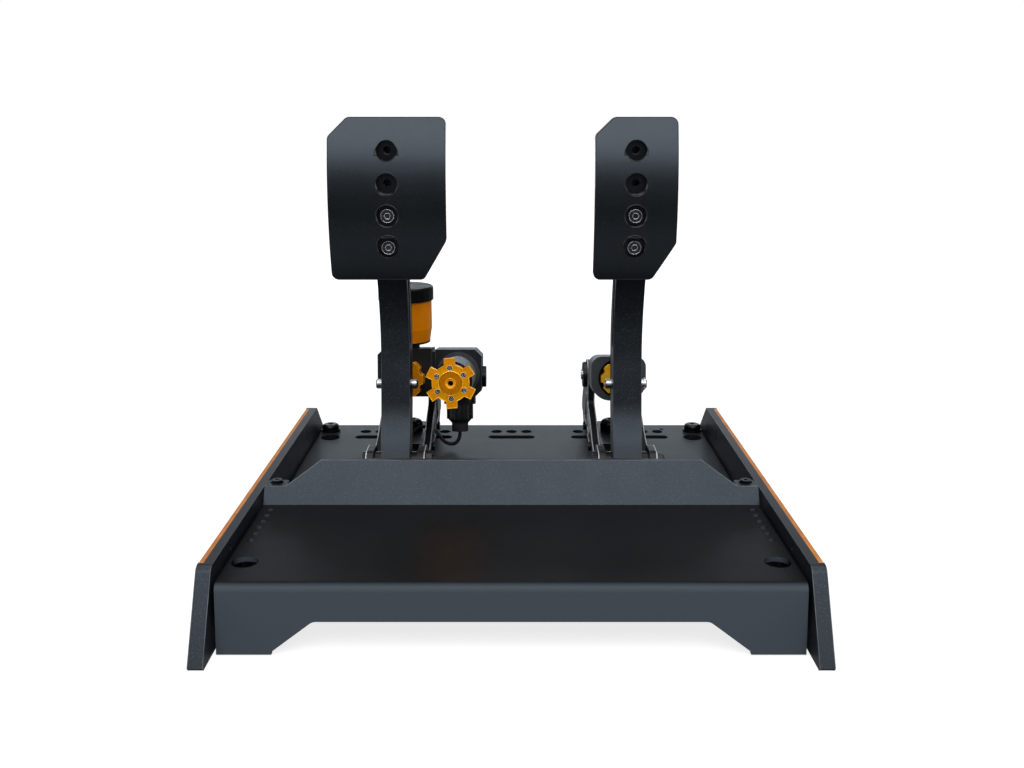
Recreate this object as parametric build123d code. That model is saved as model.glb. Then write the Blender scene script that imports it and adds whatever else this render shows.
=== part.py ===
"""Sim racing pedal set: a tray with a hydraulic brake pedal and a spring-loaded throttle.

Millimetres and degrees. +X runs to the right and +Y away from the driver. +Z is up, and the
floor is z = 0. Each named piece is written to its own STEP file in parts/.
"""
from math import atan2, cos, degrees, hypot, pi, radians, sin, sqrt, tan
import os

from build123d import *

os.makedirs("parts", exist_ok=True)

# Driving dimensions of the tray
half_width = 170.0            # middle of the tray to the outer face of a side panel
half_length = 199.5           # middle of the tray to the end of a side panel on the floor
panel_thick = 8.0
panel_height = 47.5
deck_top = 25.0               # upper face of the lower deck above the floor
deck_thick = 4.0
heel_top = 39.8               # upper face of the heel deck above the floor
sheet = 3.0                   # thickness of the folded heel deck and of the kick plate

# Driving dimensions of the pedals
module_x = 82.5               # middle of the tray to the middle of each pedal bracket
pivot_y = 24.0
pivot_z = 41.5
pin_y = 39.5                  # cross pin that joins an arm to its cylinder
pin_z = 95.5
trunnion_y = 139.0            # where a cylinder hangs in its bracket
trunnion_z = 78.0
arm_width = 20.0
pad_front_radius = 160.0
pad_thick = 9.0
pad_face_y = 6.5              # foremost line of a pad
pad_arc_y = pad_face_y + pad_front_radius
pad_arc_z = 219.0
pad_low = 175.3
pad_high = 282.0

# Fits shared by several pieces
touch = 0.01                  # smallest length that counts as a line
running_fit = 0.05            # radial play of a shaft in its bearing
play = 0.4                    # gap between curved faces that move past each other
bolt_play = 0.25              # radial play of a screw in its clearance hole
edge_break = 0.6              # chamfer on the edges of machined pieces


def save(shape, name):
    """Write one piece."""
    export_step(shape, f"parts/{name}.step")


def outline(points):
    """A closed flat face; a point may carry a corner radius as its third value."""
    corners = []
    count = len(points)
    for i, point in enumerate(points):
        corner = Vector(*point[:2])
        radius = point[2] if len(point) > 2 else 0
        if radius > 0:
            back = (Vector(*points[i - 1][:2]) - corner).normalized()
            ahead = (Vector(*points[(i + 1) % count][:2]) - corner).normalized()
            half = radians(back.get_angle(ahead) / 2)
            run = radius / tan(half)
            middle = corner + (back + ahead).normalized() * (radius / sin(half) - radius)
            corners.append((corner + back * run, middle, corner + ahead * run))
        else:
            corners.append((corner, None, corner))
    edges = []
    for i, (first, middle, last) in enumerate(corners):
        if middle is not None:
            edges.append(ThreePointArc(first, middle, last))
        following = corners[(i + 1) % count][0]
        if (following - last).length > touch:
            edges.append(Line(last, following))
    return make_face(edges)


def plate_x(face, x0, x1):
    """A side view, drawn in (y, z), made into a plate between two planes."""
    return extrude(Plane.YZ.offset(x0) * face, amount=x1 - x0, dir=(1, 0, 0))


def plate_y(face, y0, y1):
    """A front view, drawn in (x, z), made into a plate between two planes."""
    return extrude(Plane.XZ.offset(-y0) * face, amount=y1 - y0, dir=(0, 1, 0))


def plate_z(face, z0, z1):
    """A plan, drawn in (x, y), made into a plate between two planes."""
    return extrude(Pos(0, 0, z0) * face, amount=z1 - z0, dir=(0, 0, 1))


def block(x0, x1, y0, y1, z0, z1):
    """A square block between pairs of planes."""
    middle = Pos((x0 + x1) / 2, (y0 + y1) / 2, (z0 + z1) / 2)
    return middle * Box(abs(x1 - x0), abs(y1 - y0), abs(z1 - z0))


def along_x(radius, x0, x1, y, z):
    """A round bar along X."""
    return Pos((x0 + x1) / 2, y, z) * Rot(0, 90, 0) * Cylinder(radius, abs(x1 - x0))


def along_y(radius, y0, y1, x=0, z=0):
    """A round bar along Y."""
    return Pos(x, (y0 + y1) / 2, z) * Rot(90, 0, 0) * Cylinder(radius, abs(y1 - y0))


def along_z(radius, z0, z1, x=0, y=0):
    """A round bar along Z."""
    return Pos(x, y, (z0 + z1) / 2) * Cylinder(radius, abs(z1 - z0))


def cone_z(low_radius, high_radius, z0, z1, x=0, y=0):
    """A round bar along Z that tapers from its low end to its high end."""
    return Pos(x, y, (z0 + z1) / 2) * Cone(low_radius, high_radius, z1 - z0)


def cone_y(front_radius, rear_radius, y0, y1, x=0, z=0):
    """A round bar along Y that tapers from its front end to its rear end."""
    return Pos(x, (y0 + y1) / 2, z) * Rot(-90, 0, 0) * Cone(front_radius, rear_radius, y1 - y0)


def obround(x, y, length, width):
    """A slot's plan, along X."""
    return Pos(x, y) * SlotOverall(length, width)


def both_sides(shape):
    """A piece and its mirror image across the middle of the tray."""
    return shape, mirror(shape, about=Plane.YZ)


def joined(shapes):
    """Pieces that share one node, kept as separate solids."""
    return Compound(children=[Solid(s.solids()[0].wrapped) for s in shapes])


# Side panels
panel_front_run = 27.7        # how far the front edge leans back over the panel's height
panel_rear_run = 51.9
panel_toe = 2.0               # chamfer at the front foot
panel_nose_radius = 6.0
panel_tail_radius = 4.0
trim_wide = 2.6               # the coloured strip let into the outer top edge
trim_deep = 2.6
trim_front_gap = 5.2
trim_rear_gap = 4.0
trim_nose = 1.2               # chamfer at the front end of the strip
panel_inner = half_width - panel_thick
panel_screw_ys = (-120.0, -20.0, 80.0, 150.0)
panel_screw_radius = 2.5
panel_screw_head = 4.6
panel_screw_head_deep = 2.8
panel_screw_z = 14.0
hex_key_ratio = 0.36          # half the size of a socket beside its screw head's radius
hex_key_depth_ratio = 0.6


def hex_socket(radius, depth):
    """A six-sided key socket going down from z = 0."""
    return Pos(0, 0, -depth / 2) * extrude(RegularPolygon(radius, 6), depth / 2, both=True)


def side_panel():
    """The right-hand side panel with its rebate, screw holes and countersinks."""
    toe = panel_toe
    low_front = -half_length
    low_rear = half_length
    face = outline([
        (low_front + toe, 0),
        (low_rear, 0),
        (low_rear - panel_rear_run, panel_height, panel_tail_radius),
        (low_front + panel_front_run, panel_height, panel_nose_radius),
        (low_front, toe),
    ])
    panel = plate_x(face, panel_inner, half_width)
    y0, y1 = trim_ends()
    panel -= block(half_width - trim_wide, half_width + trim_wide, y0, y1,
                   panel_height - trim_deep, panel_height + trim_deep)
    for y in panel_screw_ys:
        panel -= along_x(panel_screw_radius + bolt_play, panel_inner - panel_thick,
                         half_width + panel_thick, y, panel_screw_z)
        panel -= along_x(panel_screw_head + bolt_play, half_width - panel_screw_head_deep,
                         half_width + panel_thick, y, panel_screw_z)
    return panel - panel_marks()


def trim_ends():
    """Front and rear ends of the coloured strip."""
    front = -half_length + panel_front_run + trim_front_gap
    return front, half_length - panel_rear_run - trim_rear_gap


# Small blind hole and key slot on the inner face of each panel
mark_hole_radius = 2.0
mark_hole_y = -132.0
mark_drop = 5.5               # below the top edge of the panel
mark_deep = 3.0
key_slot_y = 101.0
key_slot_long = 8.0
key_slot_wide = 1.6


def panel_marks():
    """What is sunk into a panel's inner face."""
    deep = panel_inner + mark_deep
    hole = along_x(mark_hole_radius, panel_inner - panel_thick, deep, mark_hole_y,
                   panel_height - mark_drop)
    slot = block(panel_inner - panel_thick, deep, key_slot_y - key_slot_wide / 2,
                 key_slot_y + key_slot_wide / 2, panel_height - mark_drop - key_slot_long,
                 panel_height - mark_drop)
    return hole + slot


def trim_strip():
    """The coloured strip that fills the right-hand panel's rebate."""
    y0, y1 = trim_ends()
    low = panel_height - trim_deep
    face = outline([(y0, low), (y1, low), (y1, panel_height), (y0 + trim_nose, panel_height),
                    (y0, panel_height - trim_nose)])
    return plate_x(face, half_width - trim_wide, half_width)


# Lower deck: a folded sheet between the panels
deck_front = -158.0
deck_rear = 172.0
deck_flange_low = 5.0         # lower edge of its turned-down sides above the floor
deck_bend_radius = 3.0
group_xs = (0.0, 68.4, 110.1)
group_pitch = 12.5
group_hole_radius = 4.5
group_hole_y = 152.9
group_slot_y = 137.3
group_slot_long = 38.6
group_slot_wide = 9.0
corner_bolt_inset = 9.4       # from a panel's inner face
corner_bolt_x = panel_inner - corner_bolt_inset
corner_bolt_y = 155.9
rig_hole_inset = 12.2         # from a panel's inner face
rig_hole_x = panel_inner - rig_hole_inset  # the four holes that bolt the tray to a cockpit
rig_hole_rear_y = 136.0
rig_hole_front_y = -148.4
rig_hole_radius = 7.6
small_dot_radius = 1.8
small_dot_inset = 35.0
small_dot_x = panel_inner - small_dot_inset
small_dot_y = 160.0


def module_sides():
    """The two pedal brackets: (name, middle x)."""
    return (("brake", -module_x), ("throttle", module_x))


def rear_deck():
    """The lower deck with its bolt groups, corner holes and cable hole."""
    low = deck_top - deck_thick
    deck = block(-panel_inner, panel_inner, deck_front, deck_rear, low, deck_top)
    for x0, x1 in ((-panel_inner, -panel_inner + deck_thick), (panel_inner - deck_thick, panel_inner)):
        deck += block(x0, x1, deck_front, deck_rear, deck_flange_low, deck_top)
    bends = [e for e in deck.edges().filter_by(Axis.Y)
             if abs(e.center().X) > panel_inner - touch and e.center().Z > deck_top - touch]
    deck = fillet(bends, deck_bend_radius)
    cuts = []
    for x in group_xs:
        for side in ((1,) if x == 0 else (-1, 1)):
            for step in (-1, 0, 1):
                hole_x = x + step * group_pitch
                if abs(hole_x - module_x) > tongue_half_wide:
                    cuts.append(along_z(group_hole_radius, 0, heel_top, side * hole_x,
                                        group_hole_y))
            slot = obround(side * x, group_slot_y, group_slot_long, group_slot_wide)
            cuts.append(plate_z(slot, 0, heel_top))
    for side in (-1, 1):
        cuts.append(along_z(corner_screw_radius + bolt_play, 0, heel_top, side * corner_bolt_x,
                            corner_bolt_y))
        cuts.append(along_z(rig_hole_radius, 0, heel_top, side * rig_hole_x, rig_hole_rear_y))
        cuts.append(along_z(rig_hole_radius, 0, heel_top, side * rig_hole_x, rig_hole_front_y))
        for y in panel_screw_ys:
            cuts.append(along_x(panel_screw_radius, side * (panel_inner - 2 * deck_thick),
                                side * (panel_inner + deck_thick), y, panel_screw_z))
        for x, y in post_places():
            cuts.append(along_z(post_screw_radius, 0, heel_top, side * x, y))
    for x, y in foot_bolt_places():
        cuts.append(along_z(foot_bolt_radius, 0, heel_top, x, y))
    cuts.append(along_z(small_dot_radius, 0, heel_top, small_dot_x, small_dot_y))
    cuts.append(along_z(grommet_radius, 0, heel_top, grommet_x, grommet_y))
    return deck - cuts


# Heel deck: a folded sheet in front, with a flange that reaches the floor
heel_side_gap = 2.5           # between the heel deck and a panel's inner face
heel_half_width = panel_inner - heel_side_gap
heel_bend_y = -172.5          # where the front bend starts
heel_bend_radius = 5.0
heel_lip_y = -182.3           # foot of the front flange
heel_lip_z = 0.8
heel_rear_y = -51.0           # outer face of the rear flange
heel_rear_radius = 4.0
foot_wide = 29.8              # the front flange's feet
foot_inner = heel_half_width - foot_wide
foot_slope_run = 22.5
foot_slope_x = foot_inner - foot_slope_run
foot_top = 19.0
foot_radius = 6.0
vent_inset = 5.9
vent_x = heel_half_width - vent_inset
vent_front_y = -116.9
vent_pitch = 9.92
vent_count = 6
vent_radius = 2.25


def heel_deck():
    """The heel deck: side outline folded from one sheet, then cut and drilled."""
    rise = heel_top - heel_lip_z
    lean = (heel_bend_y - heel_bend_radius - heel_lip_y) / rise
    inner = heel_bend_radius - sheet
    front_y = heel_bend_y - heel_bend_radius
    shell = outline([
        (heel_lip_y, heel_lip_z),
        (front_y, heel_top, heel_bend_radius),
        (heel_rear_y, heel_top, heel_rear_radius),
        (heel_rear_y, deck_top),
        (heel_rear_y - sheet, deck_top),
        (heel_rear_y - sheet, heel_top - sheet, heel_rear_radius - sheet),
        (front_y + sheet * (1 + lean * lean), heel_top - sheet, inner),
        (heel_lip_y + sheet, heel_lip_z),
    ])
    deck = plate_x(shell, -heel_half_width, heel_half_width)
    arch = outline([
        (-foot_inner, -sheet),
        (-foot_inner, heel_lip_z + sheet / 2, foot_radius / 3),
        (-foot_slope_x, foot_top, foot_radius),
        (foot_slope_x, foot_top, foot_radius),
        (foot_inner, heel_lip_z + sheet / 2, foot_radius / 3),
        (foot_inner, -sheet),
    ])
    cuts = [plate_y(arch, -half_length, heel_bend_y + heel_bend_radius)]
    for side in (-1, 1):
        cuts.append(along_z(rig_hole_radius, deck_top, heel_top + sheet, side * rig_hole_x,
                            rig_hole_front_y))
        for step in range(vent_count):
            cuts.append(along_z(vent_radius, deck_top, heel_top + sheet, side * vent_x,
                                vent_front_y + step * vent_pitch))
    return deck - cuts


# Kick plate: leans back over the rear edge of the heel deck
kick_foot_y = -58.5
kick_lean = 6.4 / 10.4        # run back for each unit of rise
kick_overhang = 0.5           # how far the plate stands past the heel deck on each side
kick_half_width = heel_half_width + kick_overhang
kick_low_top = 50.2
kick_high_top = 64.9
kick_tab_wide = 14.0
kick_slope_outer = kick_half_width - kick_tab_wide
kick_slope_run = 22.0
kick_slope_inner = kick_slope_outer - kick_slope_run
kick_tab_rear = -39.5
kick_slot_long = 9.0
kick_slot_wide = 4.4
kick_corner = 3.0
post_inset = 6.6
post_x = kick_half_width - post_inset
post_y = -44.6
post_radius = 4.2
post_screw_radius = 2.0
post_screw_head = 3.5
post_screw_head_high = 2.0


def post_places():
    """The posts that carry the kick plate on one side: (x, y)."""
    return ((post_x, post_y),)


def kick_plate():
    """The leaning plate with its two flat tabs."""
    rise = kick_high_top - heel_top
    run = rise * kick_lean
    across = sheet * sqrt(1 + kick_lean * kick_lean)
    slab = plate_x(outline([
        (kick_foot_y, heel_top),
        (kick_foot_y + across, heel_top),
        (kick_foot_y + across + run, kick_high_top),
        (kick_foot_y + run, kick_high_top),
    ]), -kick_half_width, kick_half_width)
    front = outline([
        (-kick_half_width, heel_top),
        (-kick_half_width, kick_low_top),
        (-kick_slope_outer, kick_low_top, kick_corner),
        (-kick_slope_inner, kick_high_top, kick_corner),
        (kick_slope_inner, kick_high_top, kick_corner),
        (kick_slope_outer, kick_low_top, kick_corner),
        (kick_half_width, kick_low_top),
        (kick_half_width, heel_top),
    ])
    plate = slab & plate_y(front, kick_foot_y - sheet, kick_foot_y + rise + across)
    tab_front = kick_foot_y + (kick_low_top - heel_top) * kick_lean
    for side in (-1, 1):
        plan = outline([
            (side * kick_slope_outer, tab_front),
            (side * kick_half_width, tab_front),
            (side * kick_half_width, kick_tab_rear, kick_corner),
            (side * kick_slope_outer, kick_tab_rear, kick_corner),
        ])
        plate += plate_z(plan, kick_low_top - sheet, kick_low_top)
    for side in (-1, 1):
        slot = obround(side * post_x, post_y, kick_slot_long, kick_slot_wide)
        plate -= plate_z(slot, heel_top, kick_low_top + sheet)
    return plate


def kick_post(side):
    """One turned post between the lower deck and a tab, open through its middle."""
    x = side * post_x
    post = along_z(post_radius, deck_top, kick_low_top - sheet, x, post_y)
    return post - along_z(post_screw_radius, deck_top - sheet, kick_low_top, x, post_y)


def kick_screw(side):
    """A button-head screw down through a tab and its post into the lower deck."""
    x = side * post_x
    head = along_z(post_screw_head, kick_low_top, kick_low_top + post_screw_head_high, x, post_y)
    key = Pos(x, post_y, kick_low_top + post_screw_head_high) * hex_socket(
        post_screw_head * hex_key_ratio, post_screw_head_high * hex_key_depth_ratio)
    shank = along_z(post_screw_radius, deck_top - deck_thick, kick_low_top, x, post_y)
    return head + shank - key


# Fasteners of the lower deck
corner_screw_radius = 3.0
corner_head_radius = 7.0
corner_head_high = 4.4
corner_washer_radius = 8.0
washer_thick = 1.6
nut_radius = 5.3              # across a nut's corners
nut_high = 5.0
screw_tip = 1.5               # how far a screw passes through its nut


def button_screw(radius, head_radius, head_high, z0, z1):
    """A button-head screw pointing down, its head on z1 and its tip at z0."""
    head = along_z(head_radius, z1, z1 + head_high)
    dome = head.edges().filter_by(GeomType.CIRCLE).sort_by(Axis.Z)[-1]
    head = fillet(dome, head_high * dome_ratio)
    key = Pos(0, 0, z1 + head_high) * hex_socket(head_radius * hex_key_ratio,
                                               head_high * hex_key_depth_ratio)
    return head + along_z(radius, z0, z1) - key


def hex_nut(radius, bore, z0, z1):
    """A six-sided nut between two levels."""
    body = plate_z(RegularPolygon(radius, 6), z0, z1)
    return body - along_z(bore, z0 - washer_thick, z1 + washer_thick)


def ring_z(radius, bore, z0, z1):
    """A flat ring between two levels."""
    return along_z(radius, z0, z1) - along_z(bore, z0 - washer_thick, z1 + washer_thick)


dome_ratio = 0.55             # rounding of a button head beside its height


def deck_screw(side):
    """A corner screw with its head on a washer."""
    low = deck_top - deck_thick - nut_high - screw_tip
    screw = button_screw(corner_screw_radius, corner_head_radius, corner_head_high, low,
                         deck_top + washer_thick)
    return Pos(side * corner_bolt_x, corner_bolt_y, 0) * screw


def deck_washer(side):
    """The washer under a corner screw's head."""
    ring = ring_z(corner_washer_radius, corner_screw_radius, deck_top, deck_top + washer_thick)
    return Pos(side * corner_bolt_x, corner_bolt_y, 0) * ring


def deck_nut(side):
    """The nut under a corner screw."""
    high = deck_top - deck_thick
    nut = hex_nut(nut_radius, corner_screw_radius, high - nut_high, high)
    return Pos(side * corner_bolt_x, corner_bolt_y, 0) * nut


def panel_screw(side, y):
    """A countersunk screw through a side panel into the deck's turned-down side."""
    head_in = half_width - panel_screw_head_deep
    shank = along_x(panel_screw_radius, side * (panel_inner - deck_thick), side * head_in, y,
                    panel_screw_z)
    head = along_x(panel_screw_head, side * head_in, side * half_width, y, panel_screw_z)
    turn = Rot(0, side * 90, 0)
    key = Pos(side * half_width, y, panel_screw_z) * turn * hex_socket(
        panel_screw_head * hex_key_ratio, panel_screw_head_deep * hex_key_depth_ratio)
    return shank + head - key


# Control box under the lower deck, with its board and the cable's way in
box_x = -30.0                 # middle of the box
box_half_wide = 62.0
box_front_y = 66.0
box_rear_y = 130.0
box_low = 6.0
box_wall = 1.6
box_ear = 9.0                 # flanges along both ends
grommet_x = -80.0
grommet_y = 92.0
grommet_radius = 4.5
grommet_bore = 1.8
grommet_flange = 5.6
grommet_flange_thick = 1.2


def control_box():
    """An open-topped tray screwed to the underside of the lower deck."""
    high = deck_top - deck_thick
    x0 = box_x - box_half_wide
    x1 = box_x + box_half_wide
    tray = block(x0, x1, box_front_y, box_rear_y, box_low, high)
    tray -= block(x0 + box_wall, x1 - box_wall, box_front_y + box_wall, box_rear_y - box_wall,
                  box_low + box_wall, high + box_wall)
    for side in (-1, 1):
        edge = box_x + side * (box_half_wide - box_wall)
        tray += block(edge, edge + side * box_ear, box_front_y, box_rear_y, high - box_wall, high)
    return tray


def cable_grommet():
    """A flanged ring that lines the cable's hole in the lower deck."""
    body = ring_z(grommet_radius, grommet_bore, deck_top - deck_thick, deck_top)
    lip = ring_z(grommet_flange, grommet_bore, deck_top, deck_top + grommet_flange_thick)
    return Pos(grommet_x, grommet_y, 0) * (body + lip)


# Pedal brackets: two cut plates on a foot plate, the same for both pedals
plate_inner = 15.6            # middle of a bracket to the inner face of a plate
plate_thick = 5.0
bracket_front = 8.0
bracket_long = 182.0
bracket_high = 64.0           # the plates' height over the lower deck
hub_bolt_radius = 4.0
foot_thick = 4.0
foot_front_y = 10.0
foot_shoulder_y = 160.0
foot_rear_y = 171.0
tongue_half_wide = 10.5
window_y0 = 78.0              # opening in the foot plate that the brake cable goes through
window_y1 = 106.0
window_half_wide = 10.5
rail_wide = 4.0
rail_high = 12.0              # rails that take the plates' screws, over the lower deck
rail_spans = ((79.0, 99.0), (134.0, 158.0))
rail_screw_share = 0.6        # height of a rail's screw beside the rail's
plate_screw_radius = 2.0
plate_screw_head = 3.4
plate_screw_head_high = 2.2
foot_bolt_radius = 3.0
foot_bolt_front_y = 52.0
foot_bolt_rear_y = 147.0
foot_dome_radius = 8.5
foot_dome_high = 9.0
foot_sink_radius = 5.6
foot_sink_deep = 3.0
foot_key_y = 135.0            # small slot in front of the domed bolt
foot_key_long = 8.0
foot_key_wide = 3.0
plate_outer = plate_inner + plate_thick

# Outline of a bracket plate: shares of its length and height, then a corner radius as a share
plate_shares = (
    (0.0, 0.0, 0.0), (0.012, 0.412, 0.155), (0.155, 0.412, 0.155), (0.212, 0.15, 0.12),
    (0.378, 0.255, 0.3), (0.52, 0.4, 0.2), (0.652, 0.5, 0.06), (0.6593, 1.0, 0.165),
    (0.7802, 1.0, 0.165), (0.99, 0.32, 0.06), (1.0, 0.18, 0.06), (0.89, 0.0, 0.05),
    (0.69, 0.0, 0.0), (0.655, 0.1, 0.04), (0.54, 0.1, 0.04), (0.505, 0.0, 0.0),
    (0.385, 0.0, 0.0), (0.35, 0.1, 0.04), (0.225, 0.1, 0.04), (0.19, 0.0, 0.0),
)
window_shares = (
    ((0.53, 0.17, 0.04), (0.64, 0.17, 0.04), (0.64, 0.4, 0.04), (0.56, 0.32, 0.04)),
    ((0.7, 0.17, 0.04), (0.84, 0.17, 0.04), (0.765, 0.57, 0.04), (0.7, 0.57, 0.04)),
)


def bracket_outline(shares):
    """Points in (y, z), with corner radii, from shares of a bracket's length and height."""
    return outline([(bracket_front + a * bracket_long, deck_top + b * bracket_high,
                     c * bracket_high) for a, b, c in shares])


def rail_screw_places():
    """Side screws of a bracket: (y, z)."""
    return [((y0 + y1) / 2, deck_top + rail_high * rail_screw_share) for y0, y1 in rail_spans]


def bracket_plate(side):
    """One upright plate of a bracket centred on x = 0; side is -1 for left and 1 for right."""
    x0, x1 = sorted((side * plate_inner, side * plate_outer))
    face = bracket_outline(plate_shares)
    for shares in window_shares:
        face -= bracket_outline(shares)
    plate = plate_x(face, x0, x1)
    x0 -= plate_thick
    x1 += plate_thick
    plate -= along_x(pivot_radius, x0, x1, pivot_y, pivot_z)
    plate -= along_x(hub_bolt_radius, x0, x1, trunnion_y, trunnion_z)
    for y, z in rail_screw_places():
        plate -= along_x(plate_screw_radius + bolt_play, x0, x1, y, z)
    return plate


def foot_bolt_places():
    """Bolts that hold both foot plates to the lower deck: (x, y)."""
    return [(x, y) for _, x in module_sides() for y in (foot_bolt_front_y, foot_bolt_rear_y)]


def foot_plate():
    """The plate between a bracket's uprights, with its tongue, window and screw rails."""
    plan = outline([
        (-plate_inner, foot_front_y), (plate_inner, foot_front_y),
        (plate_inner, foot_shoulder_y), (tongue_half_wide, foot_shoulder_y),
        (tongue_half_wide, foot_rear_y, foot_thick), (-tongue_half_wide, foot_rear_y, foot_thick),
        (-tongue_half_wide, foot_shoulder_y), (-plate_inner, foot_shoulder_y),
    ])
    high = deck_top + foot_thick
    plate = plate_z(plan, deck_top, high)
    for y0, y1 in rail_spans:
        for side in (-1, 1):
            plate += block(side * (plate_inner - rail_wide), side * plate_inner, y0, y1, deck_top,
                           deck_top + rail_high)
    for y, z in rail_screw_places():
        plate -= along_x(plate_screw_radius, -plate_outer, plate_outer, y, z)
    plate -= block(-window_half_wide, window_half_wide, window_y0, window_y1, 0, high + sheet)
    plate -= along_z(foot_bolt_radius + bolt_play, 0, heel_top, 0, foot_bolt_front_y)
    plate -= along_z(foot_bolt_radius + bolt_play, 0, heel_top, 0, foot_bolt_rear_y)
    plate -= cone_z(foot_bolt_radius, foot_sink_radius, high - foot_sink_deep, high, 0,
                    foot_bolt_front_y)
    plate -= plate_z(obround(0, foot_key_y, foot_key_long, foot_key_wide), 0, high + sheet)
    return plate


def foot_bolts(x):
    """A bracket's flush front bolt and its domed rear bolt."""
    high = deck_top + foot_thick
    low = deck_top - deck_thick - screw_tip
    front = along_z(foot_bolt_radius, low, high, x, foot_bolt_front_y)
    front += cone_z(foot_bolt_radius, foot_sink_radius, high - foot_sink_deep, high, x,
                    foot_bolt_front_y)
    front -= Pos(x, foot_bolt_front_y, high) * hex_socket(foot_sink_radius * hex_key_ratio,
                                                         foot_sink_deep * hex_key_depth_ratio)
    rear = Pos(x, foot_bolt_rear_y, 0) * button_screw(foot_bolt_radius, foot_dome_radius,
                                                      foot_dome_high, low, high)
    return [front, rear]


def plate_screws():
    """The side screws of one bracket."""
    screws = []
    tip = plate_inner - rail_wide
    for y, z in rail_screw_places():
        for side in (-1, 1):
            screw = along_x(plate_screw_radius, side * tip, side * plate_outer, y, z)
            screw += along_x(plate_screw_head, side * plate_outer,
                             side * (plate_outer + plate_screw_head_high), y, z)
            key = Pos(side * (plate_outer + plate_screw_head_high), y, z) * Rot(0, side * 90, 0)
            screw -= key * hex_socket(plate_screw_head * hex_key_ratio,
                                      plate_screw_head_high * hex_key_depth_ratio)
            screws.append(screw)
    return screws


# Pivot of a pedal arm
pivot_radius = 5.0
pivot_head_radius = 7.5
pivot_head_high = 3.5
pivot_nut_radius = 8.6
pivot_nut_high = 5.0
spacer_radius = 7.4
arm_boss_radius = 11.0


def pivot_bolt():
    """The shaft an arm turns on, with its head on the outer side."""
    bolt = along_x(pivot_radius, -plate_outer, plate_outer + pivot_nut_high + screw_tip, pivot_y,
                   pivot_z)
    bolt += along_x(pivot_head_radius, -plate_outer - pivot_head_high, -plate_outer, pivot_y,
                    pivot_z)
    key = Pos(-plate_outer - pivot_head_high, pivot_y, pivot_z) * Rot(0, -90, 0)
    return bolt - key * hex_socket(pivot_head_radius * hex_key_ratio,
                                   pivot_head_high * hex_key_depth_ratio)


def pivot_nut():
    """The nut on the other end of an arm's shaft."""
    nut = plate_x(Pos(pivot_y, pivot_z) * RegularPolygon(pivot_nut_radius, 6), plate_outer,
                  plate_outer + pivot_nut_high)
    return nut - along_x(pivot_radius, plate_inner, plate_outer + 2 * pivot_nut_high, pivot_y,
                         pivot_z)


def pivot_spacers():
    """The two rings between an arm's boss and its bracket plates."""
    rings = []
    for side in (-1, 1):
        near = side * arm_width / 2
        far = side * plate_inner
        ring = along_x(spacer_radius, near, far, pivot_y, pivot_z)
        rings.append(ring - along_x(pivot_radius, near - side, far + side, pivot_y, pivot_z))
    return rings


# Outline of a pedal arm over its rise from pivot to top: shares of the rise
arm_rise = 233.5
arm_depth = 22.0
arm_top_depth = 12.0
arm_front_shares = (
    (0.0795, -0.0257), (0.1563, 0.0026), (0.2377, 0.0214), (0.3619, 0.045),
    (0.4647, 0.0355), (0.5546, 0.0098),
)
arm_join_z = 193.0            # where the arm's front edge meets the back of the pad
eye_slot_wide = 9.6           # slot behind the arm for a cylinder's rod end
eye_slot_front_y = 33.0
eye_slot_low = 84.0
eye_slot_high = 113.0
pin_radius = 3.6
pin_proud = 5.0               # how far the cross pin stands out of each side
pin_chamfer = 0.8
side_groove_wide = 7.0        # recess milled in both side faces of an arm
side_groove_deep = 1.5
side_groove_low = 122.0
side_groove_high = 172.0
pad_hole_zs = (260.7, 239.6, 218.3, 197.1)
pad_hole_radius = 6.85
pad_sink_deep = 5.5
pad_hole_chamfer = 0.8
pad_screw_radius = 2.5
pad_screw_head = 4.3
pad_screw_head_high = 4.0
pad_key_ratio = 0.504         # half the size of a cap screw's socket beside its head
pad_screw_bite = 9.0          # thread length in the arm
pad_back_radius = pad_front_radius - pad_thick


def pad_back_y(z):
    """Where the back of a pad lies at a given height."""
    return pad_arc_y - sqrt(pad_back_radius ** 2 - (z - pad_arc_z) ** 2)


def arm_outline():
    """Side view of an arm in (y, z)."""
    top = pivot_z + arm_rise
    front = [(pivot_y + b * arm_rise, pivot_z + a * arm_rise) for a, b in arm_front_shares]
    rear = [(y + arm_depth, z) for y, z in front]
    join = (pad_back_y(arm_join_z), arm_join_z)
    peak = (pad_back_y(pad_arc_z), pad_arc_z)
    tip = (pad_back_y(top), top)
    back = (tip[0] + arm_top_depth, top)
    low_rear = (pivot_y + arm_boss_radius, pivot_z)
    low_front = (pivot_y - arm_boss_radius, pivot_z)
    rear_path = [back, (peak[0] + arm_depth, pad_arc_z), (join[0] + arm_depth, arm_join_z)]
    rear_path += rear[::-1] + [low_rear]
    return make_face([
        Spline(low_front, *front, join),
        ThreePointArc(join, peak, tip),
        Line(tip, back),
        Spline(*rear_path),
        Line(low_rear, low_front),
    ])


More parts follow.
